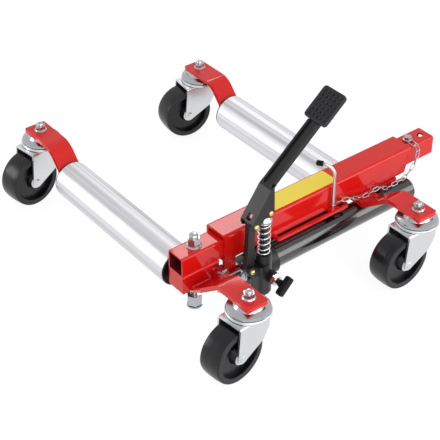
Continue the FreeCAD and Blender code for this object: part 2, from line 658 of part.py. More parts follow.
arm_bolt = new_body("arm_bolt")
BOLT_REACH = "(%s + inner_size + arm_nut_height - 1)" % INNER_BOTTOM
spin(arm_bolt, [("0", "block_bottom - 2"), ("arm_bolt_radius", "block_bottom - 2"),
                ("arm_bolt_radius", BOLT_REACH), ("0", BOLT_REACH)])
spin(arm_bolt, [("0", "block_bottom - 3"), ("arm_nut_flange", "block_bottom - 3"),
                ("arm_nut_flange", "block_bottom"), ("0", "block_bottom")])
slab(arm_bolt, "XY_Plane", "block_bottom - 7", "10", hexagon("arm_nut_flats"))
slab(arm_bolt, "XY_Plane", "(bolt_tail + block_bottom)/2", "block_bottom - bolt_tail", ("0", "0", "arm_bolt_radius"))
spin(arm_bolt, [("0", "bolt_tail + 2"), ("tail_washer", "bolt_tail + 2"), ("tail_washer", "bolt_tail + 5"),
                ("0", "bolt_tail + 5")])
slab(arm_bolt, "XY_Plane", "bolt_tail + 6 + tail_nut_height/2", "tail_nut_height", hexagon("tail_nut_flats"))
slab(arm_bolt, "XY_Plane", "bolt_tail + 5.5", "2", ("0", "0", "tail_washer - 4"))
place(arm_bolt, "arm_bolt_x")

# Ram: cylinder, end cap, gland nut, saddle, piston and rod
ram = new_body("ram_cylinder")
spin(ram, [("ram_bore", "ram_start"), ("ram_radius", "ram_start"), ("ram_radius", "ram_end"),
           ("ram_bore", "ram_end")])
bevel(ram, 1.0, lambda edge: rim(edge, size("ram_radius"), size("ram_end")))
place(ram, "0", "ram_y", "ram_z", ALONG_X)

end_cap = new_body("ram_end_cap")
spin(end_cap, [("0", "ram_end - 14"), ("ram_bore", "ram_end - 14"), ("ram_bore", "ram_end"),
               ("ram_radius - 1", "ram_end"), ("ram_radius - 1", "ram_end + 4"),
               ("ram_radius - 3", "ram_end + 6"), ("ram_radius - 9", "ram_end + 6"),
               ("ram_radius - 9", "ram_end + 3"), ("0", "ram_end + 3")])
place(end_cap, "0", "ram_y", "ram_z", ALONG_X)

gland = new_body("ram_gland_nut")
slab(gland, "XY_Plane", "socket_left - 4", "8", hexagon("2*rod_radius + 14"))
spin(gland, [("0", "socket_left - 11"), ("rod_radius + 5", "socket_left - 11"),
             ("rod_radius + 5", "socket_left - 4"), ("0", "socket_left - 4")])
slab(gland, "XY_Plane", "socket_left", "60", ("0", "0", "rod_radius + running_gap"), cut=True)
place(gland, "0", "ram_y", "ram_z", ALONG_X)

gusset = new_body("pump_gusset")
GUSSET_NEAR = "(ram_y + rod_radius + rod_clear)"
slab(gusset, "XZ_Plane", GUSSET_NEAR + " + gusset_thick/2", "gusset_thick",
     box("gusset_left", "gusset_right", "gusset_bottom", "sleeve_bottom"))
round_off(gusset, "6", lambda edge: runs(edge, 1) and edge.CenterOfMass.z < size("gusset_bottom") + 1)
place(gusset)

saddle = new_body("ram_saddle")
slab(saddle, "XY_Plane", "(ram_z + sleeve_bottom)/2", "sleeve_bottom - ram_z",
     box("saddle_x", "saddle_x + saddle_length", "-sleeve_width/2", "-2"))
slab(saddle, "YZ_Plane", "saddle_x + saddle_length/2", "saddle_length + 4",
     ("ram_y", "ram_z", "ram_radius + seat_gap"), cut=True)
place(saddle)

spine = new_body("ram_spine")
slab(spine, "XY_Plane", "(ram_z + sleeve_bottom)/2", "sleeve_bottom - ram_z",
     box("spine_left", "spine_right", "spine_near", "spine_far"))
slab(spine, "YZ_Plane", "(spine_left + spine_right)/2", "spine_right - spine_left + 4",
     ("ram_y", "ram_z", "ram_radius + seat_gap"), cut=True)
place(spine)

rod = new_body("piston_rod")
slab(rod, "YZ_Plane", "(eye_x + rod_end)/2", "rod_end - eye_x", ("ram_y", "ram_z", "rod_radius"))
slab(rod, "XY_Plane", "ram_z", "eye_height", ("eye_x", "ram_y", "eye_radius"))
slab(rod, "XY_Plane", "ram_z", "eye_height + 4", ("eye_x", "ram_y", "draw_pin_radius + running_gap"), cut=True)
place(rod)

piston = new_body("piston")
spin(piston, [("rod_radius + running_gap", "rod_end - piston_length"),
              ("ram_bore - running_gap", "rod_end - piston_length"),
              ("ram_bore - running_gap", "rod_end"), ("rod_radius + running_gap", "rod_end")])
place(piston, "0", "ram_y", "ram_z", ALONG_X)

lug = new_body("drawbar_lug")
LUG_MIDDLE = "lug_bottom + lug_thick/2"
slab(lug, "XY_Plane", LUG_MIDDLE, "lug_thick", ("eye_x", "ram_y", "lug_radius"))
slab(lug, "XY_Plane", LUG_MIDDLE, "lug_thick",
     box("eye_x - lug_radius", "inner_left + block_length", "ram_y", "-inner_size/2"))
slab(lug, "XY_Plane", LUG_MIDDLE, "lug_thick + 4", ("eye_x", "ram_y", "draw_pin_radius + running_gap"), cut=True)
slab(lug, "XY_Plane", LUG_MIDDLE, "lug_thick + 4",
     box("eye_x - 2*lug_radius", "eye_x + 2*lug_radius", "-inner_size/2", "inner_size/2"), cut=True)
place(lug)

draw_pin = new_body("draw_pin")
LUG_TOP = "(lug_bottom + lug_thick)"
EYE_BOTTOM = "(ram_z - eye_height/2)"
spin(draw_pin, [("0", EYE_BOTTOM + " - 8"), ("draw_pin_radius", EYE_BOTTOM + " - 8"),
                ("draw_pin_radius", LUG_TOP), ("10", LUG_TOP), ("10", LUG_TOP + " + 1.6"),
                ("0", LUG_TOP + " + 1.6")])
slab(draw_pin, "XY_Plane", LUG_TOP + " + 3", "6", hexagon("caster_nut_flats - 1"))
slab(draw_pin, "XY_Plane", EYE_BOTTOM + " - 4", "8", hexagon("caster_nut_flats - 1"))
place(draw_pin, "eye_x", "ram_y")

# Foot pump: casting, link, plunger, spring, release valve
pump = new_body("pump_body")
slab(pump, "XY_Plane", "(pump_bottom + pump_top)/2", "pump_top - pump_bottom",
     box("pump_left", "pump_right", "pump_y - pump_half", "pump_y + pump_half"))
round_off(pump, "6", lambda edge: runs(edge, 2))
round_off(pump, "5", lambda edge: abs(edge.CenterOfMass.z - size("pump_bottom")) < 1e-4)
slab(pump, "XY_Plane", "(barrel_bottom + seat_top)/2", "seat_top - barrel_bottom",
     ("plunger_x", "pump_y", "seat_radius"))
slab(pump, "YZ_Plane", "(socket_left + socket_right)/2", "socket_right - socket_left",
     ("ram_y", "ram_z", "socket_radius"))
slab(pump, "XY_Plane", "sleeve_bottom - foot_thick/2", "foot_thick",
     box("socket_left + 10", "socket_right", "ram_y", "foot_far"))
slab(pump, "XZ_Plane", "pump_y - pump_half - 1", "12", ("valve_x", "valve_z", "11"))
for hand in ("-", "+"):
    ear_middle = "pump_y %s (link_thick/2 + ear_gap + ear_thick/2)" % hand
    slab(pump, "XZ_Plane", ear_middle, "ear_thick",
         [("link_x", "link_z - 9"), ("pump_left + 8", "link_z - 22"), ("pump_left + 8", "pump_top"),
          ("pump_left", "pump_top"), ("link_x", "link_z + 9")])
    slab(pump, "XZ_Plane", ear_middle, "ear_thick", ("link_x", "link_z", "9"))
slab(pump, "XZ_Plane", "pump_y", "4*pump_half", ("link_x", "link_z", "pin_radius + running_gap"), cut=True)
slab(pump, "XY_Plane", "(pump_bottom + 10 + seat_top + 4)/2", "seat_top - pump_bottom - 6",
     ("plunger_x", "pump_y", "plunger_radius + running_gap"), cut=True)
slab(pump, "YZ_Plane", "(ram_start + socket_right + 10)/2", "socket_right + 10 - ram_start",
     ("ram_y", "ram_z", "ram_radius + seat_gap"), cut=True)
slab(pump, "YZ_Plane", "ram_start", "2*(ram_start - socket_left) + 8",
     ("ram_y", "ram_z", "rod_radius + running_gap"), cut=True)
slab(pump, "XZ_Plane", "pump_y - pump_half - 3", "14", ("valve_x", "valve_z", "5"), cut=True)
place(pump)

pump_bolts = []
for shift in ("18", "46"):
    bolt = new_body("pump_bolt", listed=False)
    slab(bolt, "XY_Plane", "bolt_head/2", "bolt_head", hexagon("bolt_flats"))
    spin(bolt, [("0", "0"), ("bolt_flats/2 + 1.5", "0"), ("bolt_flats/2 + 1.5", "1.4"), ("0", "1.4")])
    place(bolt, "socket_left + " + shift, "12", "sleeve_bottom - foot_thick", UPSIDE_DOWN)
    pump_bolts.append(bolt)
group("pump_bolts", pump_bolts)

link = new_body("pump_link")
slab(link, "XZ_Plane", "pump_y", "link_thick",
     [("link_x - link_half_width", "link_z"), ("link_x + link_half_width", "link_z"),
      ("fulcrum_x + link_top", "fulcrum_z"), ("fulcrum_x - link_top", "fulcrum_z")])
for pin, radius in (("link", "link_half_width"), ("fulcrum", "link_top")):
    slab(link, "XZ_Plane", "pump_y", "link_thick", (pin + "_x", pin + "_z", radius))
for pin in ("link", "fulcrum"):
    slab(link, "XZ_Plane", "pump_y", "link_thick + 4",
         (pin + "_x", pin + "_z", "pin_radius + running_gap"), cut=True)
place(link)


def headed_pin(label, x, z, near, far):
    """Round pin along Y with a domed head at the near end and a riveted one at the far end."""
    body = new_body(label)
    spin(body, [("0", near + " - 4"), ("pin_head - 2.5", near + " - 4"), ("pin_head - 0.6", near + " - 2.6"),
                ("pin_head", near + " - 0.3"), ("pin_radius", near + " - 0.3"), ("pin_radius", far + " + 0.3"),
                ("pin_head - 1", far + " + 0.3"), ("pin_head - 1.6", far + " + 2.3"), ("0", far + " + 2.3")])
    place(body, x, "0", z, ALONG_Y)


EAR_OUT = "(link_thick/2 + ear_gap + ear_thick)"
headed_pin("link_pin", "link_x", "link_z", "pump_y - " + EAR_OUT, "pump_y + " + EAR_OUT)
headed_pin("fulcrum_pin", "fulcrum_x", "fulcrum_z", "pump_y - pump_half", "pump_y + pump_half")
headed_pin("plunger_pin", "plunger_x", "plunger_pin_z", "pump_y - pump_half", "pump_y + pump_half")

plunger = new_body("pump_plunger")
slab(plunger, "XY_Plane", "(plunger_bottom + plunger_pin_z)/2", "plunger_pin_z - plunger_bottom",
     ("plunger_x", "pump_y", "plunger_radius"))
slab(plunger, "XZ_Plane", "pump_y", "plunger_radius*2 - 2", ("plunger_x", "plunger_pin_z", "9"))
slab(plunger, "XZ_Plane", "pump_y", "4*plunger_radius",
     ("plunger_x", "plunger_pin_z", "pin_radius + running_gap"), cut=True)
place(plunger)

spring_cap = new_body("spring_cap")
spin(spring_cap, [("plunger_radius + running_gap", "spring_top"), ("seat_radius - 1", "spring_top"),
                  ("seat_radius - 1", "spring_top + spring_cap_thick - 1"),
                  ("plunger_radius + 2", "spring_top + 2*spring_cap_thick + 2"),
                  ("plunger_radius + running_gap", "spring_top + 2*spring_cap_thick + 2")])
place(spring_cap, "plunger_x", "pump_y")


def arc_from(start, heading, end):
    """Circular arc that leaves a point along a heading and ends at another point."""
    chord = end - start
    normal = heading.cross(chord).cross(heading)
    normal.normalize()
    radius = chord.Length ** 2 / (2.0 * chord.dot(normal))
    centre = start + normal * radius
    middle = (start - centre) + (end - centre)
    middle.normalize()
    return Part.Arc(start, centre + middle * radius, end).toShape()


def biarc(start, leave, end, arrive):
    """Two arcs that join two points and keep the headings at both."""
    chord = end - start
    both = leave + arrive
    spread = 2.0 * (1.0 - leave.dot(arrive))
    along = chord.dot(both)
    reach = (math.sqrt(along ** 2 + spread * chord.dot(chord)) - along) / spread
    joint = (start + end + (leave - arrive) * reach) * 0.5
    turned = (joint - start) - leave * reach
    turned.normalize()
    return [arc_from(start, leave, joint), arc_from(joint, turned, end)]


def coil_height(turn, low, turns, dead_rise, open_rise):
    """Height of the wire's centre after so many turns, with a closed turn at each end."""
    if turn <= 1.0:
        return low + dead_rise * turn
    if turn <= turns + 1.0:
        return low + dead_rise + open_rise * (turn - 1.0)
    return low + dead_rise * (turn - turns) + open_rise * turns


def spring_shape():
    """One unbroken wire wound round the plunger, in quarter-turn biarcs."""
    mean = size("spring_mean")
    wire = size("spring_wire")
    turns = size("spring_turns")
    low = size("seat_top") + wire / 2.0
    dead_rise = wire * 1.18
    open_rise = (size("spring_top") - size("seat_top") - wire - 2 * dead_rise) / turns
    points = []
    headings = []
    for quarter in range(int(4 * (turns + 2)) + 1):
        angle = quarter * math.pi / 2.0
        height = coil_height(quarter / 4.0, low, turns, dead_rise, open_rise)
        before = coil_height(max(quarter / 4.0 - 0.125, 0.0), low, turns, dead_rise, open_rise)
        after = coil_height(min(quarter / 4.0 + 0.125, turns + 2.0), low, turns, dead_rise, open_rise)
        climb = (after - before) / (mean * math.pi / 2.0)
        heading = V(-math.sin(angle), math.cos(angle), climb)
        heading.normalize()
        points.append(V(mean * math.cos(angle), mean * math.sin(angle), height))
        headings.append(heading)
    edges = []
    for step in range(len(points) - 1):
        edges += biarc(points[step], headings[step], points[step + 1], headings[step + 1])
    profile = Part.Wire([Part.Circle(points[0], headings[0], wire / 2.0).toShape()])
    samples = [edge.valueAt(edge.FirstParameter + (edge.LastParameter - edge.FirstParameter) * share / 6.0)
               for edge in edges for share in range(6)]
    half_turn = 24
    gap = min((samples[i] - samples[j]).Length for i in range(len(samples))
              for j in range(i + half_turn, len(samples))) - wire
    print("spring self gap %.2f mm" % gap)
    return Part.Wire(edges).makePipeShell([profile], True, False)


spring = doc.addObject("Part::Feature", "pump_spring")
spring.Shape = spring_shape()
place(spring, "plunger_x", "pump_y")
node(spring, "pump_spring")

valve_nut = new_body("valve_nut")
VALVE_FACE = "(pump_y - pump_half - 7)"
slab(valve_nut, "XY_Plane", VALVE_FACE + " - 4", "8", hexagon("caster_nut_flats + 1"))
spin(valve_nut, [("0", VALVE_FACE + " - 10"), ("7.4", VALVE_FACE + " - 10"), ("8", VALVE_FACE + " - 9"),
                 ("8", VALVE_FACE + " - 4"), ("0", VALVE_FACE + " - 4")])
spin(valve_nut, [("0", VALVE_FACE), ("4.9", VALVE_FACE), ("4.9", VALVE_FACE + " + 8"), ("0", VALVE_FACE + " + 8")])
slab(valve_nut, "XY_Plane", VALVE_FACE, "60", ("0", "0", "pin_radius + running_gap"), cut=True)
place(valve_nut, "valve_x", "0", "valve_z", ALONG_Y)

knob = new_body("release_knob")
slab(knob, "YZ_Plane", "0", "knob_length", box("-knob_thick/2", "knob_thick/2", "-knob_thick/2", "knob_thick/2"))
round_off(knob, "3.5", lambda edge: True)
STEM_TIP = "(pump_y - pump_half - 2)"
slab(knob, "XY_Plane", "(knob_y - %s)/2" % STEM_TIP + "*(-1) + knob_thick/4", STEM_TIP + " - knob_y - knob_thick/2",
     ("0", "0", "pin_radius"))
spin(knob, [("0", "knob_thick/2 - 2"), ("knob_thick/2 + 1.5", "knob_thick/2 - 2"),
            ("knob_thick/2 - 0.5", "knob_thick/2 + 6.5"), ("pin_radius + 1.5", "knob_thick/2 + 7.5"),
            ("0", "knob_thick/2 + 7.5")])
knob_turn = ALONG_Y.multiply(FreeCAD.Rotation(V(0, 0, 1), -size("knob_tilt")))
place(knob, "valve_x", "knob_y", "valve_z", knob_turn)

# Pedal: folded channel, ribbed arm, plate with a studded rubber pad
CHANNEL_RUN = "sqrt((bend_x - channel_x)^2 + (bend_z - channel_z)^2)"
WEB_X = "pedal_web*(bend_z - channel_z)/" + CHANNEL_RUN
WEB_Z = "pedal_web*(bend_x - channel_x)/" + CHANNEL_RUN
ARM_RUN = "sqrt((arm_end_x - bend_x)^2 + (arm_end_z - bend_z)^2)"
ARM_X = "(arm_end_z - bend_z)/" + ARM_RUN
ARM_Z = "(arm_end_x - bend_x)/" + ARM_RUN

pedal = new_body("pedal_lever")
slab(pedal, "XZ_Plane", "pump_y", "2*pump_half",
     [("channel_x", "channel_z"), ("bend_x", "bend_z"), ("bend_x + 10*" + ARM_Z, "bend_z + 10*" + ARM_X),
      ("bend_x + 12*%s + pedal_web*%s" % (ARM_Z, ARM_X), "bend_z + 12*%s - pedal_web*%s" % (ARM_X, ARM_Z)),
      ("bend_x + " + WEB_X, "bend_z - " + WEB_Z), ("channel_x + " + WEB_X, "channel_z - " + WEB_Z)])
WALL = [("channel_x", "channel_z"), ("bend_x", "bend_z"), ("bend_x + 9*" + ARM_Z, "bend_z + 9*" + ARM_X),
        ("plunger_x + 8.5", "plunger_pin_z + 2"), ("plunger_x + 7", "plunger_pin_z - 6"),
        ("plunger_x", "plunger_pin_z - 9.5"), ("plunger_x - 8", "plunger_pin_z - 7"),
        ("fulcrum_x + 10", "fulcrum_z + 5"), ("fulcrum_x + 7", "fulcrum_z - 6"),
        ("fulcrum_x", "fulcrum_z - 9.5"), ("fulcrum_x - 6.5", "fulcrum_z - 6.5"),
        ("fulcrum_x - 9", "fulcrum_z")]
for hand in ("-", "+"):
    slab(pedal, "XZ_Plane", "pump_y %s (pump_half - pedal_wall/2)" % hand, "pedal_wall", WALL)
arm_web = [("bend_x", "bend_z"), ("arm_end_x + 4*" + ARM_Z, "arm_end_z + 4*" + ARM_X),
           ("arm_end_x + 4*%s + 6*%s" % (ARM_Z, ARM_X), "arm_end_z + 4*%s - 6*%s" % (ARM_X, ARM_Z)),
           ("bend_x + 6*" + ARM_X, "bend_z - 6*" + ARM_Z)]
slab(pedal, "XZ_Plane", "pump_y", "2*pedal_arm_half", arm_web)
arm_rib = [("bend_x + 3*" + ARM_Z, "bend_z + 3*" + ARM_X), ("arm_end_x", "arm_end_z"),
           ("arm_end_x - 2*%s - 4*%s" % (ARM_Z, ARM_X), "arm_end_z - 2*%s + 4*%s" % (ARM_X, ARM_Z)),
           ("bend_x + 8*%s - 4*%s" % (ARM_Z, ARM_X), "bend_z + 8*%s + 4*%s" % (ARM_X, ARM_Z))]
for hand in ("-", "+"):
    slab(pedal, "XZ_Plane", "pump_y %s (pedal_arm_half - pedal_rib/2)" % hand, "pedal_rib", arm_rib)
pad_plate = [("arm_end_x", "arm_end_z"),
             ("arm_end_x + pad_length*" + ARM_Z, "arm_end_z + pad_length*" + ARM_X),
             ("arm_end_x + pad_length*%s + pad_plate*%s" % (ARM_Z, ARM_X),
              "arm_end_z + pad_length*%s - pad_plate*%s" % (ARM_X, ARM_Z)),
             ("arm_end_x + pad_plate*" + ARM_X, "arm_end_z - pad_plate*" + ARM_Z)]
slab(pedal, "XZ_Plane", "pump_y", "pad_width - 4", pad_plate)
round_off(pedal, "pad_corner", lambda edge: edge.Curve.TypeId == "Part::GeomLine"
          and abs(edge.Length - size("pad_plate")) < 1e-4
          and abs(abs(edge.CenterOfMass.y - size("pump_y")) - size("pad_width") / 2 + 2) < 1e-4)
for hand in ("-", "+"):
    wall_middle = "pump_y %s (pump_half - pedal_wall/2)" % hand
    slab(pedal, "XZ_Plane", wall_middle, "pedal_wall + 4",
         ("fulcrum_x", "fulcrum_z", "pin_radius + running_gap"),
         ("plunger_x", "plunger_pin_z", "pin_radius + pin_slack"), cut=True)


def on_channel(along, below):
    """Point so far up the pedal channel and so far below its top face."""
    return ("channel_x + ((%s)*(bend_x - channel_x) + (%s)*(bend_z - channel_z))/%s" % (along, below, CHANNEL_RUN),
            "channel_z + ((%s)*(bend_z - channel_z) - (%s)*(bend_x - channel_x))/%s" % (along, below, CHANNEL_RUN))


WINDOW_END = "web_hole_start + web_hole_length"
slab(pedal, "XZ_Plane", "pump_y", "web_hole_width",
     [on_channel("web_hole_start", "-2"), on_channel(WINDOW_END, "-2"),
      on_channel(WINDOW_END, "pedal_web + 1"), on_channel("web_hole_start", "pedal_web + 1")], cut=True)
place(pedal)

pad = new_body("pedal_pad")
slab(pad, "XY_Plane", "pad_thick/2", "pad_thick", box("0", "pad_length", "-pad_width/2", "pad_width/2"))
round_off(pad, "pad_corner", lambda edge: runs(edge, 2))
round_off(pad, "1.2", lambda edge: abs(edge.CenterOfMass.z - size("pad_thick")) < 1e-4)
first_stud = slab(pad, "XY_Plane", "pad_thick + pad_bump_height/2 - 0.5", "pad_bump_height + 1",
                  box("(pad_length - (pad_rows - 1)*pad_pitch - pad_bump)/2",
                      "(pad_length - (pad_rows - 1)*pad_pitch + pad_bump)/2",
                      "-((pad_columns - 1)*pad_pitch + pad_bump)/2",
                      "-((pad_columns - 1)*pad_pitch - pad_bump)/2"))
studs = pad.newObject("PartDesign::MultiTransform", "Studs")
studs.Originals = [first_stud]
directions = []
for axis, count in (("X_Axis", "pad_rows"), ("Y_Axis", "pad_columns")):
    pattern = pad.newObject("PartDesign::LinearPattern", "Row")
    pattern.Direction = (next(line for line in pad.Origin.OriginFeatures if line.Role == axis), [""])
    pattern.setExpression("Occurrences", bind(count))
    pattern.setExpression("Length", bind("(%s - 1)*pad_pitch" % count))
    directions.append(pattern)
studs.Transformations = directions
pad.Tip = studs
doc.recompute()
arm_slope = math.degrees(math.atan2(size("arm_end_z") - size("bend_z"), size("arm_end_x") - size("bend_x")))
place(pad, "arm_end_x", "pump_y", "arm_end_z", FreeCAD.Rotation(V(0, 1, 0), -arm_slope))

# Side rail for the lock pin, the pin itself, and its tether chain
rail = new_body("pin_rail")
RAIL_NEAR = "(-sleeve_width/2 - rail_reach)"
RAIL_MIDDLE = "rail_top - rail_height/2"
LOCK_Y = "(-sleeve_width/2 - (rail_reach - rail_wall)/2)"
slab(rail, "XY_Plane", RAIL_MIDDLE, "rail_height", box("rail_left", "rail_right", RAIL_NEAR, "-sleeve_width/2"))
round_off(rail, "rail_corner", lambda edge: runs(edge, 2) and edge.CenterOfMass.y < -size("sleeve_width") / 2 - 1)
slab(rail, "XY_Plane", RAIL_MIDDLE, "rail_height + 4",
     box("rail_left + rail_wall", "lock_x - seat_length/2", RAIL_NEAR + " + rail_wall", "-sleeve_width/2"),
     box("lock_x + seat_length/2", "rail_right - rail_wall", RAIL_NEAR + " + rail_wall", "-sleeve_width/2"),
     ("lock_x", LOCK_Y, "lock_radius + running_gap"), cut=True)
place(rail)


def lock_pin_shape():
    """Upright pin bent over into a short level handle."""
    radius = size("lock_radius")
    floor = size("rail_top") - size("rail_height") - size("lock_foot")
    rise = size("lock_bend_z")
    bend = size("lock_bend_radius")
    reach = size("lock_reach")
    heading = math.radians(size("lock_heading"))
    out = V(math.cos(heading), math.sin(heading), 0)
    centre = out * bend + V(0, 0, rise)
    halfway = centre + (V(0, 0, 1) - out) * (bend / math.sqrt(2))
    shoulder = V(0, 0, rise)
    crest = centre + V(0, 0, bend)
    tip = out * reach + V(0, 0, rise + bend)
    edges = [Part.LineSegment(V(0, 0, floor), shoulder).toShape(),
             Part.Arc(shoulder, halfway, crest).toShape(),
             Part.LineSegment(crest, tip).toShape()]
    profile = Part.Wire([Part.Circle(V(0, 0, floor), V(0, 0, 1), radius).toShape()])
    return Part.Wire(edges).makePipeShell([profile], True, False)


lock_pin = doc.addObject("Part::Feature", "lock_pin")
lock_pin.Shape = lock_pin_shape()
place(lock_pin, "lock_x", LOCK_Y)
node(lock_pin, "lock_pin")

lock_cap = new_body("lock_pin_cap")
CAP_START = "(lock_reach - lock_cap_length + 3)"
spin(lock_cap, [("0", CAP_START), ("lock_cap_radius - 1", CAP_START), ("lock_cap_radius", CAP_START + " + 1"),
                ("lock_cap_radius", "lock_reach + 2"), ("lock_cap_radius - 2", "lock_reach + 4"),
                ("0", "lock_reach + 4")])
slab(lock_cap, "XY_Plane", "lock_reach/2", "lock_reach", ("0", "0", "lock_radius + running_gap"), cut=True)
handle = FreeCAD.Rotation(V(0, 0, 1), size("lock_heading")).multiply(ALONG_X)
place(lock_cap, "lock_x", LOCK_Y, "lock_bend_z + lock_bend_radius", handle)


def chain_link(length, width, wire):
    """Stadium link lying in the XY plane, centred, long way along X."""
    turn = (width - wire) / 2.0
    half = (length - wire) / 2.0 - turn
    link = Part.makeCylinder(wire / 2.0, 2 * half, V(-half, -turn, 0), V(1, 0, 0))
    others = [Part.makeCylinder(wire / 2.0, 2 * half, V(-half, turn, 0), V(1, 0, 0))]
    for middle, facing in ((half, -90), (-half, 90)):
        bend = Part.makeTorus(turn, wire / 2.0, V(0, 0, 0), V(0, 0, 1), -180, 180, 180)
        bend.Placement = FreeCAD.Placement(V(middle, 0, 0), FreeCAD.Rotation(V(0, 0, 1), facing))
        others.append(bend)
    return link.multiFuse(others).removeSplitter()


def chain_shape():
    """Tether: a long first link under the bolt, a run of small links, a ring round the lock pin."""
    wire = size("chain_wire")
    pitch = size("chain_pitch")
    width = size("chain_width")
    bolt_x = size("chain_bolt_x")
    lock_x = size("lock_x")
    roof = size("sleeve_bottom") + size("sleeve_height") - size("sleeve_wall")
    tray_y = -size("sleeve_width") / 2 - (size("rail_reach") - size("rail_wall")) / 2
    foot = size("sleeve_bottom") + width / 2
    ram_top = size("ram_z") + size("ram_radius") + width / 2
    right_edge = size("right_roller_x") + size("plate_width") / 2
    left_edge = right_edge - size("plate_width")
    route = [V(bolt_x - 1, -21.5, roof + wire), V(bolt_x - 3, -30.0, roof - 5),
             V(bolt_x - 7, -32.5, roof - 17), V(bolt_x - 12, -33, roof - 29), V(bolt_x - 22, -33, roof - 41),
             V(bolt_x - 36, -33, ram_top + 4), V(right_edge + 50, -33.5, ram_top + 1.5),
             V(right_edge + 26, -34, ram_top + 3), V(right_edge + 8, -34.5, foot + 2.5),
             V(right_edge - 10, -34.5, foot + 1.5), V(left_edge + 4, -34.5, foot + 2),
             V(left_edge - 20, -34, foot + 11), V(lock_x + 22, tray_y - 2, foot + 13),
             V(lock_x + 9, tray_y, foot + 13)]
    curve = Part.BSplineCurve()
    curve.interpolate(route)
    length = curve.length()
    count = int(length // pitch)
    step = length / count
    solids = []
    small_link = chain_link(pitch + 2 * wire + 0.6, width, wire)
    long_link = chain_link(32.0, width + 4.5, wire)
    long_link.Placement = FreeCAD.Placement(V(bolt_x - 0.5, -8.0, roof + wire / 2 + 0.1),
                                            FreeCAD.Rotation(V(0, 0, 1), 87))
    solids.append(long_link)
    for number in range(count):
        spot = curve.parameterAtDistance(step * (number + 0.5))
        here = curve.value(spot)
        along = curve.tangent(spot)[0]
        across = along.cross(V(0, 0, 1))
        if across.Length < 1e-3:
            across = V(0, 1, 0)
        across.normalize()
        up = across.cross(along)
        lean = math.radians(45 if number % 2 else -45)
        flat = across * math.cos(lean) + up * math.sin(lean)
        link = small_link.copy()
        link.Placement = FreeCAD.Placement(here, FreeCAD.Rotation(along, flat, V(0, 0, 1), "XYZ"))
        solids.append(link)
    ring = Part.makeTorus(size("lock_radius") + size("ring_wire") / 2 + 0.4, size("ring_wire") / 2)
    ring.Placement = FreeCAD.Placement(V(lock_x, tray_y, foot + 13), FreeCAD.Rotation())
    solids.append(ring)
    return Part.Compound([solid for shape in solids for solid in shape.Solids])


chain = doc.addObject("Part::Feature", "tether_chain")
chain.Shape = chain_shape()
place(chain)
node(chain, "tether_chain")

chain_bolt = new_body("chain_bolt")
spin(chain_bolt, [("0", "-stub_wall"), ("pin_radius", "-stub_wall"), ("pin_radius", "chain_wire + 0.4"),
                  ("9", "chain_wire + 0.4"), ("9", "chain_wire + 1.6"), ("bolt_flats/2", "chain_wire + 2.6"),
                  ("0", "chain_wire + 2.6")])
slab(chain_bolt, "XY_Plane", "chain_wire + 1 + bolt_head/2", "bolt_head", hexagon("bolt_flats"))
place(chain_bolt, "chain_bolt_x", "0", CAVITY_TOP)

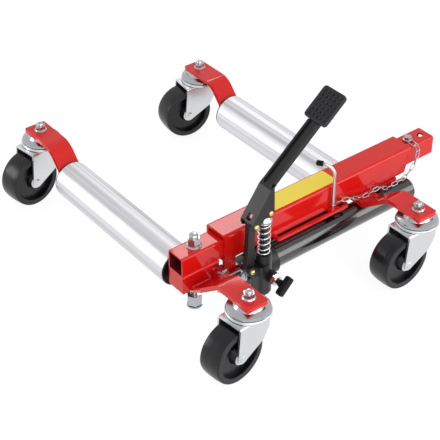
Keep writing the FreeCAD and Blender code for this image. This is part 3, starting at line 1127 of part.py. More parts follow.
# Casters: fixed race and bolt on the plate, turning fork, axle bolt, wheel
for side in ("left", "right"):
    cups = []
    bolts = []
    for end in ("near", "far"):
        name = "%s_%s" % (end, side)
        spot = (side + "_roller_x", end + "_caster_y")
        turned = FreeCAD.Rotation(V(0, 0, 1), size(name + "_turn"))
        plate_low = "(plate_top - plate_thick)"
        race_low = "(race_top + race_gap)"
        cup = new_body(name + "_cup", listed=False)
        spin(cup, [("stem_radius + running_gap", race_low), ("race_radius - 1.5", race_low),
                   ("race_radius", race_low + " + 1.5"), ("race_radius", race_low + " + 4"),
                   ("race_radius - 2", race_low + " + 5.5"), ("race_radius - 11", race_low + " + 8"),
                   ("race_radius - 15", plate_low), ("stem_radius + running_gap", plate_low)])
        place(cup, *spot)
        cups.append(cup)
        bolt = new_body(name + "_bolt", listed=False)
        domed_nut(bolt, "plate_top", "caster")
        head = "(fork_crown - crown_thick - 0.3)"
        spin(bolt, [("0", head + " - 4.7"), ("stem_radius + 4", head + " - 4.7"), ("stem_radius + 4", head),
                    ("stem_radius", head), ("stem_radius", "plate_top + 1"), ("0", "plate_top + 1")])
        place(bolt, *spot)
        bolts.append(bolt)

        fork = new_body(name + "_fork")
        slab(fork, "XZ_Plane", "0", "2*fork_half",
             [("fork_front", "fork_crown"), ("-trail - fork_back", "fork_crown"),
              ("-trail - fork_boss", "wheel_radius"), ("-trail", "wheel_radius"),
              ("-trail + fork_boss*0.57", "wheel_radius - fork_boss*0.82"),
              ("fork_front - 14", "fork_knee"), ("fork_front", "fork_shoulder")])
        slab(fork, "XZ_Plane", "0", "2*fork_half", ("-trail", "wheel_radius", "fork_boss"))
        crown = size("fork_crown")
        round_off(fork, "5", lambda edge: abs(edge.CenterOfMass.z - crown) < 1e-4 and runs(edge, 0))
        round_off(fork, "12", lambda edge: runs(edge, 1) and edge.CenterOfMass.x > -10
                  and edge.CenterOfMass.z < size("fork_shoulder") + 1)
        slab(fork, "XZ_Plane", "0", "2*(fork_half - fork_wall)",
             box("-2*trail", "trail", "-10", "fork_crown - crown_thick"), cut=True)
        spin(fork, [("0", "fork_crown - 1"), ("race_radius - 14", "fork_crown - 1"),
                    ("race_radius - 2", "fork_crown + 1"), ("race_radius + 2", "fork_crown + 1"),
                    ("race_radius + 2", "race_top - 1"), ("race_radius + 1", "race_top"), ("0", "race_top")])
        slab(fork, "XY_Plane", "fork_crown", "40", ("0", "0", "stem_radius + running_gap"), cut=True)
        slab(fork, "XZ_Plane", "0", "4*fork_half", ("-trail", "wheel_radius", "wheel_axle + running_gap"), cut=True)
        place(fork, spot[0], spot[1], "0", turned)

        axle = new_body(name + "_axle")
        spin(axle, [("0", "-fork_half - 1"), ("wheel_axle", "-fork_half - 1"), ("wheel_axle", "fork_half + 1"),
                    ("0", "fork_half + 1")])
        for hand in ("-", "+"):
            slab(axle, "XY_Plane", "%s(fork_half + axle_head/2)" % hand, "axle_head", hexagon("axle_flats"))
            slab(axle, "XY_Plane", "%s(fork_half - fork_wall - 0.85)" % hand, "1.5", ("0", "0", "hub_washer"))
        offset = turned.multVec(V(-size("trail"), 0, 0))
        wheel_spot = ("%s + %.9f" % (spot[0], offset.x), "%s + %.9f" % (spot[1], offset.y), "wheel_radius")
        wheel_turn = turned.multiply(ALONG_Y)
        place(axle, *wheel_spot, wheel_turn)

        wheel = new_body(name + "_wheel")
        half_width = "wheel_width/2"
        face = "(wheel_width/2 - web_inset)"
        hub_face = "(fork_half - fork_wall - 2.2)"
        spin(wheel, [("wheel_axle + running_gap", "-" + hub_face),
                     ("hub_radius - 4", "-" + hub_face), ("hub_radius", "-" + face),
                     ("rim_inner", "-" + face), ("rim_inner + 1.5", "-%s + 1" % half_width),
                     ("rim_inner + 2.5", "-" + half_width),
                     ("tread_edge", "-" + half_width), ("tread_crown", "-(%s + tread_flat)/2" % half_width),
                     ("wheel_radius", "-tread_flat"), ("wheel_radius", "tread_flat"),
                     ("tread_crown", "(%s + tread_flat)/2" % half_width), ("tread_edge", half_width),
                     ("rim_inner + 2.5", half_width), ("rim_inner + 1.5", half_width + " - 1"),
                     ("rim_inner", face), ("hub_radius", face),
                     ("hub_radius - 4", hub_face),
                     ("wheel_axle + running_gap", hub_face)])
        round_off(wheel, "wheel_shoulder", lambda edge: rim(edge, size("tread_edge")))
        place(wheel, *wheel_spot, wheel_turn)
    group(side + "_caster_cups", cups)
    group(side + "_caster_bolts", bolts)

doc.recompute()
os.makedirs("parts", exist_ok=True)
for thing in doc.Objects:
    if any(word in thing.State for word in ("Invalid", "Error")):
        raise RuntimeError("%s: %s" % (thing.Label, thing.State))
for piece in NODES:
    shape = piece.Shape
    if shape.isNull() or not shape.isValid() or not shape.Solids:
        raise RuntimeError("bad shape: " + piece.Label)
    shape.exportStep("parts/%s.step" % piece.Label)
whole = Part.Compound([piece.Shape for piece in NODES])
print(len(NODES), "nodes", whole.BoundBox)
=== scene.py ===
import bmesh
import bpy
from bpy.props import FloatProperty, FloatVectorProperty, PointerProperty
from bpy.types import Operator, Panel, PropertyGroup
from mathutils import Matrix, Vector


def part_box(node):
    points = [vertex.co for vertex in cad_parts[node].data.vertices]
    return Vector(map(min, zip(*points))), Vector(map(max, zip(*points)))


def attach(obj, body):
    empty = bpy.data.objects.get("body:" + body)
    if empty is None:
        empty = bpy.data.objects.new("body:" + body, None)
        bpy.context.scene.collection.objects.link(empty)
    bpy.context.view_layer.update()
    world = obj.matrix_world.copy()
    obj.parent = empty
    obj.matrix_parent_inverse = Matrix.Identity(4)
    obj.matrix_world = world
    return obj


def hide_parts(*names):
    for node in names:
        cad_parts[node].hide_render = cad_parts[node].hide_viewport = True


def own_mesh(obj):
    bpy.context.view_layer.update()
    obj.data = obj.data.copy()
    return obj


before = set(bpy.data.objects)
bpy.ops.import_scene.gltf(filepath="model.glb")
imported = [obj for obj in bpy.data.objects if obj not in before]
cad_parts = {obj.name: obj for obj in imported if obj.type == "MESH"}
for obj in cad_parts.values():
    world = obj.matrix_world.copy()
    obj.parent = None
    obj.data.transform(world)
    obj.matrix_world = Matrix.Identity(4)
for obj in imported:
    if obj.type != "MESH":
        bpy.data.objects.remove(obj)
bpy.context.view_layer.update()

bl_info = {
    "name": "Vehicle positioning jack finishes",
    "version": (1, 0, 0),
    "blender": (4, 5, 0),
    "location": "View3D > Sidebar > Jack",
    "description": "Paint, plating, weld beads, rating plate and studio for a foot-pumped wheel dolly",
    "category": "Object",
}

CORNERS = ("near_left", "near_right", "far_left", "far_right")

COLOUR = {"subtype": "COLOR", "min": 0.0, "max": 1.0}
LENGTH = {"subtype": "DISTANCE", "unit": "LENGTH"}
PLACE = {"subtype": "TRANSLATION", "unit": "LENGTH"}
POWER = {"unit": "POWER"}
SHARE = {"subtype": "FACTOR", "min": 0.0}

WHITE = (1.0, 1.0, 1.0)

# Width of the camera's sensor in millimetres.
SENSOR_WIDTH = 36.0

# A noise stays mostly between these two values.
NOISE_LOW = 0.3
NOISE_HIGH = 0.7

# Points closer than this, in metres, lie in one flat face.
FLAT = 0.0002

# Share of a tube's wall from the outside that belongs to its coat; the rest, the inner walls, takes the
# painted shade colour.
COATED_WALL = 0.9

# The room's light at the horizon and overhead, as shares of its even light.
HORIZON_SHARE = 1.15
OVERHEAD_SHARE = 0.8

# Upward part of a direction from which the room is all ceiling.
CEILING_RISE = 0.9


def linear(code):
    """Scene-linear RGB for an sRGB hex colour."""
    channels = [int(code[place:place + 2], 16) / 255.0 for place in (0, 2, 4)]
    return tuple(c / 12.92 if c <= 0.04045 else ((c + 0.055) / 1.055) ** 2.4 for c in channels)


def shade(colour, share):
    """Darker tone of a colour."""
    return tuple(share * channel for channel in colour)


class JackFinishes(PropertyGroup):
    """Colours of the coats and platings."""
    red_coat: FloatVectorProperty(
        name="Red coat", description="Powder coat on the steelwork", default=linear("D0140F"), **COLOUR)
    # The tube bores' colour is painted shade: a dark red standing in for the shade inside the open tubes.
    bore_shade: FloatVectorProperty(
        name="Tube bore", description="Painted shade inside the open tubes", default=linear("521A16"), **COLOUR)
    black_coat: FloatVectorProperty(
        name="Black coat", description="Paint on pump, pedal and ram", default=linear("141416"), **COLOUR)
    zinc: FloatVectorProperty(
        name="Zinc", description="Bright plating on forks and axles", default=linear("E2E4E6"), **COLOUR)
    fasteners: FloatVectorProperty(
        name="Fasteners", description="Greyer zinc on bolts and nuts", default=linear("BCC0C4"), **COLOUR)
    aluminium: FloatVectorProperty(
        name="Aluminium", description="Drawn roller tubes", default=linear("EAEAEE"), **COLOUR)
    chrome: FloatVectorProperty(
        name="Chrome", description="Piston rod, lock pin and valve nut", default=linear("DFE1E3"), **COLOUR)
    yellow_zinc: FloatVectorProperty(
        name="Yellow zinc", description="Passivated linkage pins", default=linear("E3CB85"), **COLOUR)
    polymer: FloatVectorProperty(
        name="Polymer", description="Caster wheels, caps and knob", default=linear("0B0B10"), **COLOUR)
    rubber: FloatVectorProperty(
        name="Rubber", description="Pedal pad", default=linear("2B2B2F"), **COLOUR)
    plate_yellow: FloatVectorProperty(
        name="Plate yellow", description="Bare plate on the sleeve", default=linear("E8CE2C"), **COLOUR)


class JackDetails(PropertyGroup):
    """Sizes of the pieces added over the solids, and the walls of the open tubes."""
    plate_start: FloatProperty(
        name="Plate start", description="Rating plate from the sleeve's left end", default=0.108, **LENGTH)
    plate_length: FloatProperty(
        name="Plate length", description="Rating plate along the sleeve", default=0.146, **LENGTH)
    plate_width: FloatProperty(
        name="Plate width", description="Rating plate across the sleeve", default=0.038, **LENGTH)
    plate_thickness: FloatProperty(
        name="Plate thickness", description="Rating plate above the sleeve", default=0.0008, **LENGTH)
    plate_corner: FloatProperty(
        name="Plate corner", description="Radius of the rating plate's corners", default=0.004, **LENGTH)
    inner_wall: FloatProperty(
        name="Inner tube wall", description="Wall of the sliding tube", default=0.003, **LENGTH)
    stub_wall: FloatProperty(
        name="Stub tube wall", description="Wall of the fixed tube", default=0.004, **LENGTH)
    weld_radius: FloatProperty(
        name="Weld radius", description="Half the width of a weld bead", default=0.003, **LENGTH)
    weld_ripple: FloatProperty(
        name="Weld ripple", description="Spacing of the ripples in a bead", default=0.0022, **LENGTH)
    weld_inset: FloatProperty(
        name="Weld inset", description="End of a bead from the end of its corner", default=0.003, **LENGTH)


class JackStudio(PropertyGroup):
    """Camera, lamps and the white room."""
    camera_place: FloatVectorProperty(
        name="Camera", description="Camera position", default=(-1.1704, -1.4231, 1.3903), **PLACE)
    camera_aim: FloatVectorProperty(
        name="Aim", description="Viewing direction", subtype="DIRECTION", default=(0.4948, 0.6266, -0.6020))
    focal_length: FloatProperty(
        name="Focal length", description="Lens in millimetres", default=100.77, subtype="DISTANCE_CAMERA")
    lamp_aim: FloatVectorProperty(
        name="Lamp aim", description="Point that all lamps face", default=(0.0, 0.0, 0.1), **PLACE)
    key_place: FloatVectorProperty(
        name="Key", description="Softbox low on the right, mirrored in the ram",
        default=(1.14, -1.63, 0.76), **PLACE)
    key_size: FloatProperty(
        name="Key size", description="Width of the key lamp", default=1.15, **LENGTH)
    key_power: FloatProperty(
        name="Key power", description="Power of the key lamp", default=9.0, **POWER)
    fill_place: FloatVectorProperty(
        name="Fill", description="Wide soft lamp low in front", default=(-0.6, -1.8, 0.9), **PLACE)
    fill_size: FloatProperty(
        name="Fill size", description="Width of the fill lamp", default=1.8, **LENGTH)
    fill_power: FloatProperty(
        name="Fill power", description="Power of the fill lamp", default=20.0, **POWER)
    back_place: FloatVectorProperty(
        name="Back", description="Small softbox behind, mirrored in the sleeve's top",
        default=(0.85, 1.1, 1.35), **PLACE)
    back_size: FloatProperty(
        name="Back size", description="Width of the back lamp", default=0.36, **LENGTH)
    back_power: FloatProperty(
        name="Back power", description="Power of the back lamp", default=2.0, **POWER)
    side_place: FloatVectorProperty(
        name="Side", description="Low softbox far on the left, mirrored in the pedal and the treads",
        default=(-1.24, 0.95, 0.55), **PLACE)
    side_size: FloatProperty(
        name="Side size", description="Width of the side lamp", default=0.6, **LENGTH)
    side_power: FloatProperty(
        name="Side power", description="Power of the side lamp", default=4.2, **POWER)
    room_light: FloatProperty(
        name="Room light", description="Light from all round", default=0.80, **SHARE)
    room_walls: FloatProperty(
        name="Room walls", description="Brightness of the walls in reflections", default=0.90, **SHARE)
    room_ceiling: FloatProperty(
        name="Room ceiling", description="Brightness of the ceiling in reflections", default=0.72, **SHARE)
    room_floor: FloatProperty(
        name="Room floor", description="Brightness of the floor in reflections", default=0.92, **SHARE)
    floor_size: FloatProperty(
        name="Floor size", description="Side of the square floor", default=24.0, **LENGTH)
    floor_gap: FloatProperty(
        name="Floor gap", description="Floor below the wheels", default=0.0004, **LENGTH)
    floor_glow: FloatProperty(
        name="Floor glow", description="Light of its own that the camera sees", default=0.87, **SHARE)
    floor_catch: FloatProperty(
        name="Floor catch", description="Grey that catches the jack's shadow", default=0.20, **SHARE)
    floor_bounce: FloatProperty(
        name="Floor bounce", description="Grey that throws light back at the jack", default=0.70, **SHARE)


def add_node(tree, kind, place=(0, 0), **sockets):
    """New shader node with values on its named sockets."""
    node = tree.nodes.new(kind)
    node.location = place
    for label, value in sockets.items():
        node.inputs[label.replace("_", " ")].default_value = value
    return node


def new_material(name):
    """Material with an empty principled surface; gives back material, tree and shader."""
    material = bpy.data.materials.new(name)
    material.use_nodes = True
    tree = material.node_tree
    return material, tree, tree.nodes["Principled BSDF"]


def grain(tree, scale, detail=2.0, stretch=(1.0, 1.0, 1.0)):
    """Noise fixed to the object; scale is its number of grains to a metre."""
    place = add_node(tree, "ShaderNodeTexCoord", (-900, 0))
    mapping = add_node(tree, "ShaderNodeMapping", (-720, 0), Scale=stretch)
    noise = add_node(tree, "ShaderNodeTexNoise", (-540, 0), Scale=scale, Detail=detail)
    tree.links.new(place.outputs["Object"], mapping.inputs["Vector"])
    tree.links.new(mapping.outputs["Vector"], noise.inputs["Vector"])
    return noise


def relief(tree, shader, noise, depth):
    """Fine surface relief from a noise, depth in metres."""
    bump = add_node(tree, "ShaderNodeBump", (-220, -240), Strength=1.0, Distance=depth)
    tree.links.new(noise.outputs["Fac"], bump.inputs["Height"])
    tree.links.new(bump.outputs["Normal"], shader.inputs["Normal"])


def uneven_gloss(tree, shader, noise, low, high):
    """Roughness that drifts between two values with a noise."""
    span = add_node(tree, "ShaderNodeMapRange", (-300, 60), From_Min=NOISE_LOW, From_Max=NOISE_HIGH,
                    To_Min=low, To_Max=high)
    tree.links.new(noise.outputs["Fac"], span.inputs["Value"])
    tree.links.new(span.outputs["Result"], shader.inputs["Roughness"])


def set_shader(shader, colour, metallic=0.0, roughness=0.4, **more):
    """Constant values straight on the principled sockets."""
    shader.inputs["Base Color"].default_value = (*colour, 1.0)
    shader.inputs["Metallic"].default_value = metallic
    shader.inputs["Roughness"].default_value = roughness
    for label, value in more.items():
        shader.inputs[label.replace("_", " ")].default_value = value


def powder_coat(colour):
    """Gloss powder coat: clear highlights with a faint orange peel."""
    material, tree, shader = new_material("red_powder_coat")
    set_shader(shader, colour, roughness=0.34, Specular_IOR_Level=0.04,
               Coat_Weight=0.8, Coat_Roughness=0.05)
    relief(tree, shader, grain(tree, scale=260.0), depth=0.00003)
    return material


def maths(tree, operation, place, *terms):
    """Maths node whose terms are other nodes' outputs or plain numbers."""
    node = add_node(tree, "ShaderNodeMath", place)
    node.operation = operation
    for slot, term in enumerate(terms):
        if isinstance(term, float):
            node.inputs[slot].default_value = term
        else:
            tree.links.new(term, node.inputs[slot])
    return node.outputs[0]


def two_tone(tree, shader, factor, first, second, place):
    """Base colour that runs from a first to a second colour with a factor."""
    tones = add_node(tree, "ShaderNodeMix", place)
    tones.data_type = "RGBA"
    tones.inputs["A"].default_value = (*first, 1.0)
    tones.inputs["B"].default_value = (*second, 1.0)
    tree.links.new(factor, tones.inputs["Factor"])
    tree.links.new(tones.outputs["Result"], shader.inputs["Base Color"])


def coat_with_painted_bore_shade(coat, name, outside, bore_shade, wall):
    """The coat on a square tube along x whose inner walls get a dull dark red as painted shade."""
    material = coat.copy()
    material.name = "%s_on_%s" % (coat.name, name)
    tree = material.node_tree
    shader = tree.nodes["Principled BSDF"]
    low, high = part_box(name)
    place = add_node(tree, "ShaderNodeTexCoord", (-1500, 500))
    split = add_node(tree, "ShaderNodeSeparateXYZ", (-1300, 500))
    tree.links.new(place.outputs["Object"], split.inputs["Vector"])
    within = []
    for axis in (1, 2):
        middle = (low[axis] + high[axis]) / 2
        reach = (high[axis] - low[axis]) / 2 - COATED_WALL * wall
        row = 700 - 200 * axis
        offset = maths(tree, "SUBTRACT", (-1100, row), split.outputs[axis], middle)
        distance = maths(tree, "ABSOLUTE", (-900, row), offset)
        within.append(maths(tree, "LESS_THAN", (-700, row), distance, reach))
    inside = maths(tree, "MULTIPLY", (-500, 500), *within)
    # Inner walls take the dark colour without coat: painted shade inside the tube.
    two_tone(tree, shader, inside, outside, bore_shade, (-300, 500))
    gloss = add_node(tree, "ShaderNodeMapRange", (-300, 250),
                     To_Min=shader.inputs["Coat Weight"].default_value, To_Max=0.0)
    tree.links.new(inside, gloss.inputs["Value"])
    tree.links.new(gloss.outputs["Result"], shader.inputs["Coat Weight"])
    return material


def satin_paint(colour):
    """Satin black paint: broad soft highlights over a slightly grainy casting."""
    material, tree, shader = new_material("black_satin_paint")
    set_shader(shader, colour, roughness=0.34, Specular_IOR_Level=0.45)
    noise = grain(tree, scale=700.0)
    uneven_gloss(tree, shader, noise, low=0.28, high=0.42)
    relief(tree, shader, noise, depth=0.00005)
    return material


def gloss_enamel(colour):
    """Gloss black enamel: a mirror-like coat with one clean streak of light."""
    material, tree, shader = new_material("black_gloss_enamel")
    set_shader(shader, shade(colour, share=0.5), roughness=0.17, Specular_IOR_Level=0.8,
               Coat_Weight=1.0, Coat_Roughness=0.10)
    uneven_gloss(tree, shader, grain(tree, scale=40.0, detail=3.0), low=0.15, high=0.20)
    return material


def bright_zinc(colour):
    """Bright zinc: metal with cloudy gloss from the plating bath."""
    material, tree, shader = new_material("bright_zinc_plate")
    set_shader(shader, colour, metallic=1.0, roughness=0.24)
    uneven_gloss(tree, shader, grain(tree, scale=30.0), low=0.27, high=0.36)
    return material


def fastener_zinc(colour):
    """Zinc on bolts and nuts: the same plating, greyer on rolled threads and cold-headed faces."""
    material, tree, shader = new_material("zinc_plated_fasteners")
    set_shader(shader, colour, metallic=1.0, roughness=0.2)
    uneven_gloss(tree, shader, grain(tree, scale=250.0), low=0.16, high=0.26)
    return material


def drawn_aluminium(colour):
    """Drawn tube: fine lines along the roller that smear the highlights round it."""
    material, tree, shader = new_material("drawn_aluminium")
    set_shader(shader, colour, metallic=1.0, roughness=0.46)
    noise = grain(tree, scale=200.0, detail=4.0, stretch=(1.0, 0.003, 1.0))
    uneven_gloss(tree, shader, noise, low=0.38, high=0.54)
    lines = add_node(tree, "ShaderNodeMapRange", (-480, 260), From_Min=0.36, From_Max=0.58)
    tree.links.new(noise.outputs["Fac"], lines.inputs["Value"])
    dull = shade(colour, share=0.74)
    two_tone(tree, shader, lines.outputs["Result"], dull, colour, (-300, 260))
    return material


def polished_chrome(colour):
    """Chrome: a clean mirror with crisp dark edges."""
    material, tree, shader = new_material("polished_chrome")
    set_shader(shader, colour, metallic=1.0, roughness=0.10)
    uneven_gloss(tree, shader, grain(tree, scale=150.0, detail=3.0), low=0.07, high=0.14)
    return material


def wound_steel(colour):
    """Spring wire: bright drawn steel, a little duller than chrome."""
    material, tree, shader = new_material("spring_steel")
    set_shader(shader, colour, metallic=1.0, roughness=0.2)
    uneven_gloss(tree, shader, grain(tree, scale=400.0), low=0.15, high=0.27)
    return material


def chrome_in_painted_shade(colour):
    """Plunger rod: chrome darkened in its colour as painted shade and painted dark reflection inside the
    spring.
    """
    material, tree, shader = new_material("chrome_in_painted_shade")
    # Chrome cut to 0.12 of its colour: painted shade and painted dark reflection.
    set_shader(shader, shade(colour, share=0.12), metallic=1.0, roughness=0.22)
    uneven_gloss(tree, shader, grain(tree, scale=90.0, detail=3.0), low=0.16, high=0.30)
    return material


def passivated_zinc(colour):
    """Yellow zinc: gold-toned plating on the linkage pins."""
    material, tree, shader = new_material("yellow_zinc_plate")
    set_shader(shader, colour, metallic=1.0, roughness=0.28)
    uneven_gloss(tree, shader, grain(tree, scale=200.0), low=0.22, high=0.34)
    return material


def wheel_polymer(colour):
    """Moulded wheel: black with a waxy sheen that drifts over the tread."""
    material, tree, shader = new_material("black_wheel_polymer")
    set_shader(shader, colour, roughness=0.28, Specular_IOR_Level=0.44)
    uneven_gloss(tree, shader, grain(tree, scale=60.0, detail=3.0), low=0.22, high=0.34)
    return material


def moulded_plastic(colour):
    """Moulded plastic: even matt black on caps and knob."""
    material, tree, shader = new_material("black_moulded_plastic")
    set_shader(shader, colour, roughness=0.38, Specular_IOR_Level=0.2)
    relief(tree, shader, grain(tree, scale=1200.0), depth=0.00003)
    return material


def grip_rubber(colour):
    """Rubber: dry matt black with a dusty grain."""
    material, tree, shader = new_material("black_grip_rubber")
    set_shader(shader, colour, roughness=0.42, Specular_IOR_Level=0.25)
    relief(tree, shader, grain(tree, scale=900.0), depth=0.00004)
    return material


def plate_enamel(colour):
    """Enamelled plate: flat even yellow with a soft gloss."""
    material, tree, shader = new_material("yellow_plate_enamel")
    set_shader(shader, colour, roughness=0.38)
    noise = grain(tree, scale=300.0)
    uneven_gloss(tree, shader, noise, low=0.33, high=0.43)
    relief(tree, shader, noise, depth=0.00002)
    return material


def dress(material, names):
    """Give a finish to CAD pieces."""
    for name in names:
        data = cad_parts[name].data
        data.materials.clear()
        data.materials.append(material)


class JACK_OT_steelwork(Operator):
    """Red powder coat on tubes, brackets, lug, saddle, gusset and rail"""
    bl_idname = "jack.steelwork"
    bl_label = "Coat steelwork"

    def execute(self, context):
        looks = context.scene.jack_finishes
        details = context.scene.jack_details
        coat = powder_coat(looks.red_coat)
        dress(coat, ("sleeve_tube", "axle_block", "drawbar_lug", "ram_saddle", "pin_rail", "pump_gusset",
                     "left_near_bracket", "right_near_bracket", "left_far_bracket", "right_far_bracket"))
        for name, wall in (("inner_tube", details.inner_wall), ("stub_tube", details.stub_wall)):
            # The inner walls of both tubes get a dark red as painted shade.
            dress(coat_with_painted_bore_shade(coat, name, looks.red_coat, looks.bore_shade, wall), (name,))
        return {"FINISHED"}


class JACK_OT_rollers(Operator):
    """Drawn aluminium tubes with black end caps; the same plastic on pin cap and knob"""
    bl_idname = "jack.rollers"
    bl_label = "Finish rollers"

    def execute(self, context):
        looks = context.scene.jack_finishes
        dress(drawn_aluminium(looks.aluminium), ("left_roller_tube", "right_roller_tube"))
        dress(moulded_plastic(looks.polymer),
              ("left_roller_caps", "right_roller_caps", "lock_pin_cap", "release_knob"))
        return {"FINISHED"}


class JACK_OT_casters(Operator):
    """Bright zinc forks and axles, greyer zinc fasteners, black wheels"""
    bl_idname = "jack.casters"
    bl_label = "Finish casters"

    def execute(self, context):
        looks = context.scene.jack_finishes
        zinc = bright_zinc(looks.zinc)
        dress(zinc, ["%s_%s" % (corner, piece) for corner in CORNERS for piece in ("fork", "axle")])
        dress(zinc, ("left_roller_axle", "right_roller_axle"))
        dress(fastener_zinc(looks.fasteners),
              ("left_caster_cups", "right_caster_cups", "left_caster_bolts", "right_caster_bolts",
               "arm_bolt", "arm_nut", "draw_pin", "pump_bolts", "ram_gland_nut", "tether_chain",
               "chain_bolt", "spring_cap"))
        dress(wheel_polymer(looks.polymer), [corner + "_wheel" for corner in CORNERS])
        return {"FINISHED"}


class JACK_OT_pump(Operator):
    """Black pump, ram and pedal; plunger chrome darkened as painted shade; chrome rod; yellow pins; rubber
    pad
    """
    bl_idname = "jack.pump"
    bl_label = "Finish pump"

    def execute(self, context):
        looks = context.scene.jack_finishes
        dress(satin_paint(looks.black_coat), ("pump_body", "pump_link", "pedal_lever"))
        dress(gloss_enamel(looks.black_coat), ("ram_cylinder", "ram_end_cap", "ram_spine"))
        # The plunger's dark colour is painted shade inside the spring.
        dress(chrome_in_painted_shade(looks.chrome), ("pump_plunger",))
        dress(polished_chrome(looks.chrome), ("piston_rod", "lock_pin", "valve_nut"))
        dress(wound_steel(looks.zinc), ("pump_spring", "piston"))
        dress(passivated_zinc(looks.yellow_zinc), ("link_pin", "fulcrum_pin", "plunger_pin"))
        dress(grip_rubber(looks.rubber), ("pedal_pad",))
        return {"FINISHED"}


class JACK_OT_return_spring(Operator):
    """Return spring copied from the solid and carried with the plunger"""
    bl_idname = "jack.return_spring"
    bl_label = "Fit return spring"

    def execute(self, context):
        spring = bpy.data.objects.new("return_spring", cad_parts["pump_spring"].data.copy())
        context.collection.objects.link(spring)
        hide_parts("pump_spring")
        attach(spring, "plunger")
        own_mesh(spring)
        return {"FINISHED"}


class JACK_OT_rating_plate(Operator):
    """Bare yellow plate with rounded corners on top of the sleeve"""
    bl_idname = "jack.rating_plate"
    bl_label = "Add rating plate"

    def execute(self, context):
        details = context.scene.jack_details
        low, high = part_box("sleeve_tube")
        middle = Vector((low[0] + details.plate_start + details.plate_length / 2,
                         (low[1] + high[1]) / 2, high[2] + details.plate_thickness / 2))
        bpy.ops.mesh.primitive_cube_add(size=1.0, location=middle)
        plate = context.active_object
        plate.name = "rating_plate"
        plate.scale = (details.plate_length, details.plate_width, details.plate_thickness)
        bpy.ops.object.transform_apply(location=True, rotation=True, scale=True)
        bpy.ops.object.mode_set(mode="EDIT")
        bpy.ops.mesh.select_mode(type="EDGE")
        bpy.ops.mesh.select_all(action="DESELECT")
        mesh = bmesh.from_edit_mesh(plate.data)
        # Only the four upright edges, one at each corner, are rounded.
        for edge in mesh.edges:
            run = edge.verts[1].co - edge.verts[0].co
            edge.select = abs(run.z) > abs(run.x) + abs(run.y)
        mesh.select_flush_mode()
        bmesh.update_edit_mesh(plate.data)
        bpy.ops.mesh.bevel(offset=details.plate_corner, segments=4)
        bpy.ops.object.mode_set(mode="OBJECT")
        plate.data.materials.append(plate_enamel(context.scene.jack_finishes.plate_yellow))
        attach(plate, "frame")
        return {"FINISHED"}


def weld_bead(context, name, start, end, material, body):
    """Rippled bead laid along the corner between two plates."""
    details = context.scene.jack_details
    run = Vector(end) - Vector(start)
    bpy.ops.mesh.primitive_uv_sphere_add(segments=12, ring_count=8, radius=details.weld_radius,
                                         location=(0, 0, 0))
    bead = context.active_object
    bead.name = name
    ripple = bead.modifiers.new("Ripples", "ARRAY")
    ripple.use_relative_offset = False
    ripple.use_constant_offset = True
    count = max(2, int(run.length / details.weld_ripple))
    ripple.count = count
    ripple.constant_offset_displace = run / (count - 1)
    bpy.ops.object.modifier_apply(modifier=ripple.name)
    bpy.ops.object.shade_smooth()
    for vertex in bead.data.vertices:
        vertex.co += Vector(start)
    bead.data.materials.append(material)
    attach(bead, body)


def upper_edge(name):
    """Left and right ends and height of a plate's upper edge on its far face."""
    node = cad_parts[name]
    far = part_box(name)[1][1]
    corners = [node.matrix_world @ vertex.co for vertex in node.data.vertices]
    face = [corner for corner in corners if corner.y > far - FLAT]
    top = max(corner.z for corner in face)
    edge = [corner.x for corner in face if corner.z > top - FLAT]
    return min(edge), max(edge), top


class JACK_OT_weld_beads(Operator):
    """Painted weld beads where brackets, block and lug meet the tubes"""
    bl_idname = "jack.weld_beads"
    bl_label = "Lay weld beads"

    def execute(self, context):
        coat = bpy.data.materials["red_powder_coat"]
        inset = context.scene.jack_details.weld_inset
        block_low, block_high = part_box("axle_block")
        hanger_low, hanger_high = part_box("right_near_bracket")
        lug_low, lug_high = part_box("drawbar_lug")
        sleeve_near, sleeve_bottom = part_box("sleeve_tube")[0][1:]
        foot_left, foot_right, foot_top = upper_edge("left_near_bracket")
        beads = (("weld_left_foot", foot_left, foot_right, block_low[1], foot_top, "left_arm"),
                 ("weld_right_foot", hanger_low[0], hanger_high[0], sleeve_near, sleeve_bottom, "frame"),
                 ("weld_tube_seat", block_low[0], block_high[0], block_low[1], block_high[2], "left_arm"),
                 ("weld_lug", lug_low[0], block_high[0], block_low[1], lug_high[2], "left_arm"))
        for name, left, right, near, height, body in beads:
            start = (left + inset, near, height)
            end = (right - inset, near, height)
            weld_bead(context, name, start, end, coat, body)
        return {"FINISHED"}


def flat_light(tree, strength):
    """Even white emission."""
    return add_node(tree, "ShaderNodeEmission", (-200, 200), Color=(*WHITE, 1.0), Strength=strength)


def matt_white(tree, place, share):
    """Diffuse grey that gives back a share of the light."""
    return add_node(tree, "ShaderNodeBsdfDiffuse", place, Color=(*shade(WHITE, share), 1.0))


def by_ray(tree, direct, mirrored, bounced):
    """Mix of three shaders: seen by the camera, seen in reflections, and lighting the part."""
    path = add_node(tree, "ShaderNodeLightPath", (-400, 400))
    inner = add_node(tree, "ShaderNodeMixShader", (200, 0))
    outer = add_node(tree, "ShaderNodeMixShader", (400, 0))
    tree.links.new(path.outputs["Is Glossy Ray"], inner.inputs[0])
    tree.links.new(bounced.outputs[0], inner.inputs[1])
    tree.links.new(mirrored.outputs[0], inner.inputs[2])
    tree.links.new(path.outputs["Is Camera Ray"], outer.inputs[0])
    tree.links.new(inner.outputs[0], outer.inputs[1])
    tree.links.new(direct.outputs[0], outer.inputs[2])
    return outer


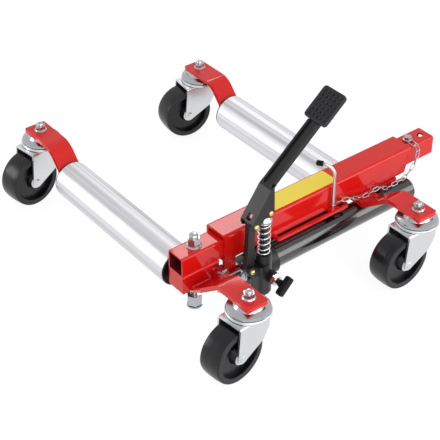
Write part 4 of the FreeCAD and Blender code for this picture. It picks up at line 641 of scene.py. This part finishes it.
def white_floor(context, studio):
    """Floor that is white to the camera and still takes the jack's shadow."""
    bpy.ops.mesh.primitive_plane_add(size=studio.floor_size, location=(0.0, 0.0, -studio.floor_gap))
    floor = context.active_object
    floor.name = "studio_floor"
    material = bpy.data.materials.new("studio_floor_white")
    material.use_nodes = True
    tree = material.node_tree
    tree.nodes.clear()
    output = add_node(tree, "ShaderNodeOutputMaterial", (600, 0))
    bounce = matt_white(tree, (0, -200), studio.floor_bounce)
    catch = matt_white(tree, (-200, 60), studio.floor_catch)
    glow = flat_light(tree, studio.floor_glow)
    mirrored = flat_light(tree, studio.room_floor)
    lit = add_node(tree, "ShaderNodeAddShader", (0, 120))
    tree.links.new(catch.outputs[0], lit.inputs[0])
    tree.links.new(glow.outputs[0], lit.inputs[1])
    tree.links.new(by_ray(tree, lit, mirrored, bounce).outputs[0], output.inputs["Surface"])
    floor.data.materials.append(material)


def fading_sky(tree, height, horizon, overhead, place):
    """White light whose strength changes from the horizon up."""
    light = add_node(tree, "ShaderNodeBackground", place, Color=(*WHITE, 1.0))
    rise = add_node(tree, "ShaderNodeMapRange", (place[0] - 400, place[1]), From_Max=CEILING_RISE,
                    To_Min=horizon, To_Max=overhead)
    tree.links.new(height, rise.inputs["Value"])
    tree.links.new(rise.outputs["Result"], light.inputs["Strength"])
    return light


def white_room(context, studio):
    """World that is white to the camera, with greyer walls and ceiling in reflections."""
    world = bpy.data.worlds.new("white_studio")
    world.use_nodes = True
    context.scene.world = world
    tree = world.node_tree
    tree.nodes.clear()
    output = add_node(tree, "ShaderNodeOutputWorld", (600, 0))
    way = add_node(tree, "ShaderNodeTexCoord", (-800, 0))
    split = add_node(tree, "ShaderNodeSeparateXYZ", (-600, 0))
    tree.links.new(way.outputs["Generated"], split.inputs["Vector"])
    height = split.outputs["Z"]
    direct = add_node(tree, "ShaderNodeBackground", (0, 200), Color=(*WHITE, 1.0))
    mirrored = fading_sky(tree, height, studio.room_walls, studio.room_ceiling, (0, 0))
    room = fading_sky(tree, height, HORIZON_SHARE * studio.room_light, OVERHEAD_SHARE * studio.room_light,
                      (0, -300))
    tree.links.new(by_ray(tree, direct, mirrored, room).outputs[0], output.inputs["Surface"])


def soft_lamp(context, name, place, size, power):
    """Square softbox that faces the jack."""
    data = bpy.data.lights.new(name, "AREA")
    data.size = size
    data.energy = power
    lamp = bpy.data.objects.new(name, data)
    context.collection.objects.link(lamp)
    lamp.location = place
    facing = Vector(context.scene.jack_studio.lamp_aim) - Vector(place)
    lamp.rotation_euler = facing.to_track_quat("-Z", "Y").to_euler()


def photo_camera(context, studio):
    """Camera at the solved place, with its lens."""
    lens = bpy.data.cameras.new("photo_camera")
    lens.sensor_fit = "HORIZONTAL"
    lens.sensor_width = SENSOR_WIDTH
    lens.lens = studio.focal_length
    camera = bpy.data.objects.new("photo_camera", lens)
    context.collection.objects.link(camera)
    camera.location = studio.camera_place
    camera.rotation_euler = Vector(studio.camera_aim).to_track_quat("-Z", "Y").to_euler()
    context.scene.camera = camera


class JACK_OT_stage(Operator):
    """White studio floor and room, soft lamps and the camera"""
    bl_idname = "jack.stage"
    bl_label = "Set stage"

    def execute(self, context):
        studio = context.scene.jack_studio
        white_floor(context, studio)
        white_room(context, studio)
        soft_lamp(context, "key_lamp", studio.key_place, studio.key_size, studio.key_power)
        soft_lamp(context, "fill_lamp", studio.fill_place, studio.fill_size, studio.fill_power)
        soft_lamp(context, "back_lamp", studio.back_place, studio.back_size, studio.back_power)
        soft_lamp(context, "side_lamp", studio.side_place, studio.side_size, studio.side_power)
        photo_camera(context, studio)
        context.scene.view_settings.view_transform = "Standard"
        return {"FINISHED"}


STEPS = (JACK_OT_steelwork, JACK_OT_rollers, JACK_OT_casters, JACK_OT_pump, JACK_OT_return_spring,
         JACK_OT_rating_plate, JACK_OT_weld_beads, JACK_OT_stage)


class JACK_PT_panel(Panel):
    """Steps that dress the jack, in order"""
    bl_label = "Positioning jack"
    bl_idname = "JACK_PT_panel"
    bl_space_type = "VIEW_3D"
    bl_region_type = "UI"
    bl_category = "Jack"

    def draw(self, context):
        for step in STEPS:
            self.layout.operator(step.bl_idname)
        scene = context.scene
        for group in (scene.jack_finishes, scene.jack_details, scene.jack_studio):
            for name in group.__annotations__:
                self.layout.prop(group, name)


CLASSES = (JackFinishes, JackDetails, JackStudio) + STEPS + (JACK_PT_panel,)


def register():
    for entry in CLASSES:
        bpy.utils.register_class(entry)
    bpy.types.Scene.jack_finishes = PointerProperty(type=JackFinishes)
    bpy.types.Scene.jack_details = PointerProperty(type=JackDetails)
    bpy.types.Scene.jack_studio = PointerProperty(type=JackStudio)


def unregister():
    del bpy.types.Scene.jack_studio
    del bpy.types.Scene.jack_details
    del bpy.types.Scene.jack_finishes
    for entry in reversed(CLASSES):
        bpy.utils.unregister_class(entry)


def main():
    register()
    bpy.ops.jack.steelwork()
    bpy.ops.jack.rollers()
    bpy.ops.jack.casters()
    bpy.ops.jack.pump()
    bpy.ops.jack.return_spring()
    bpy.ops.jack.rating_plate()
    bpy.ops.jack.weld_beads()
    bpy.ops.jack.stage()


if __name__ == "__main__":
    main()
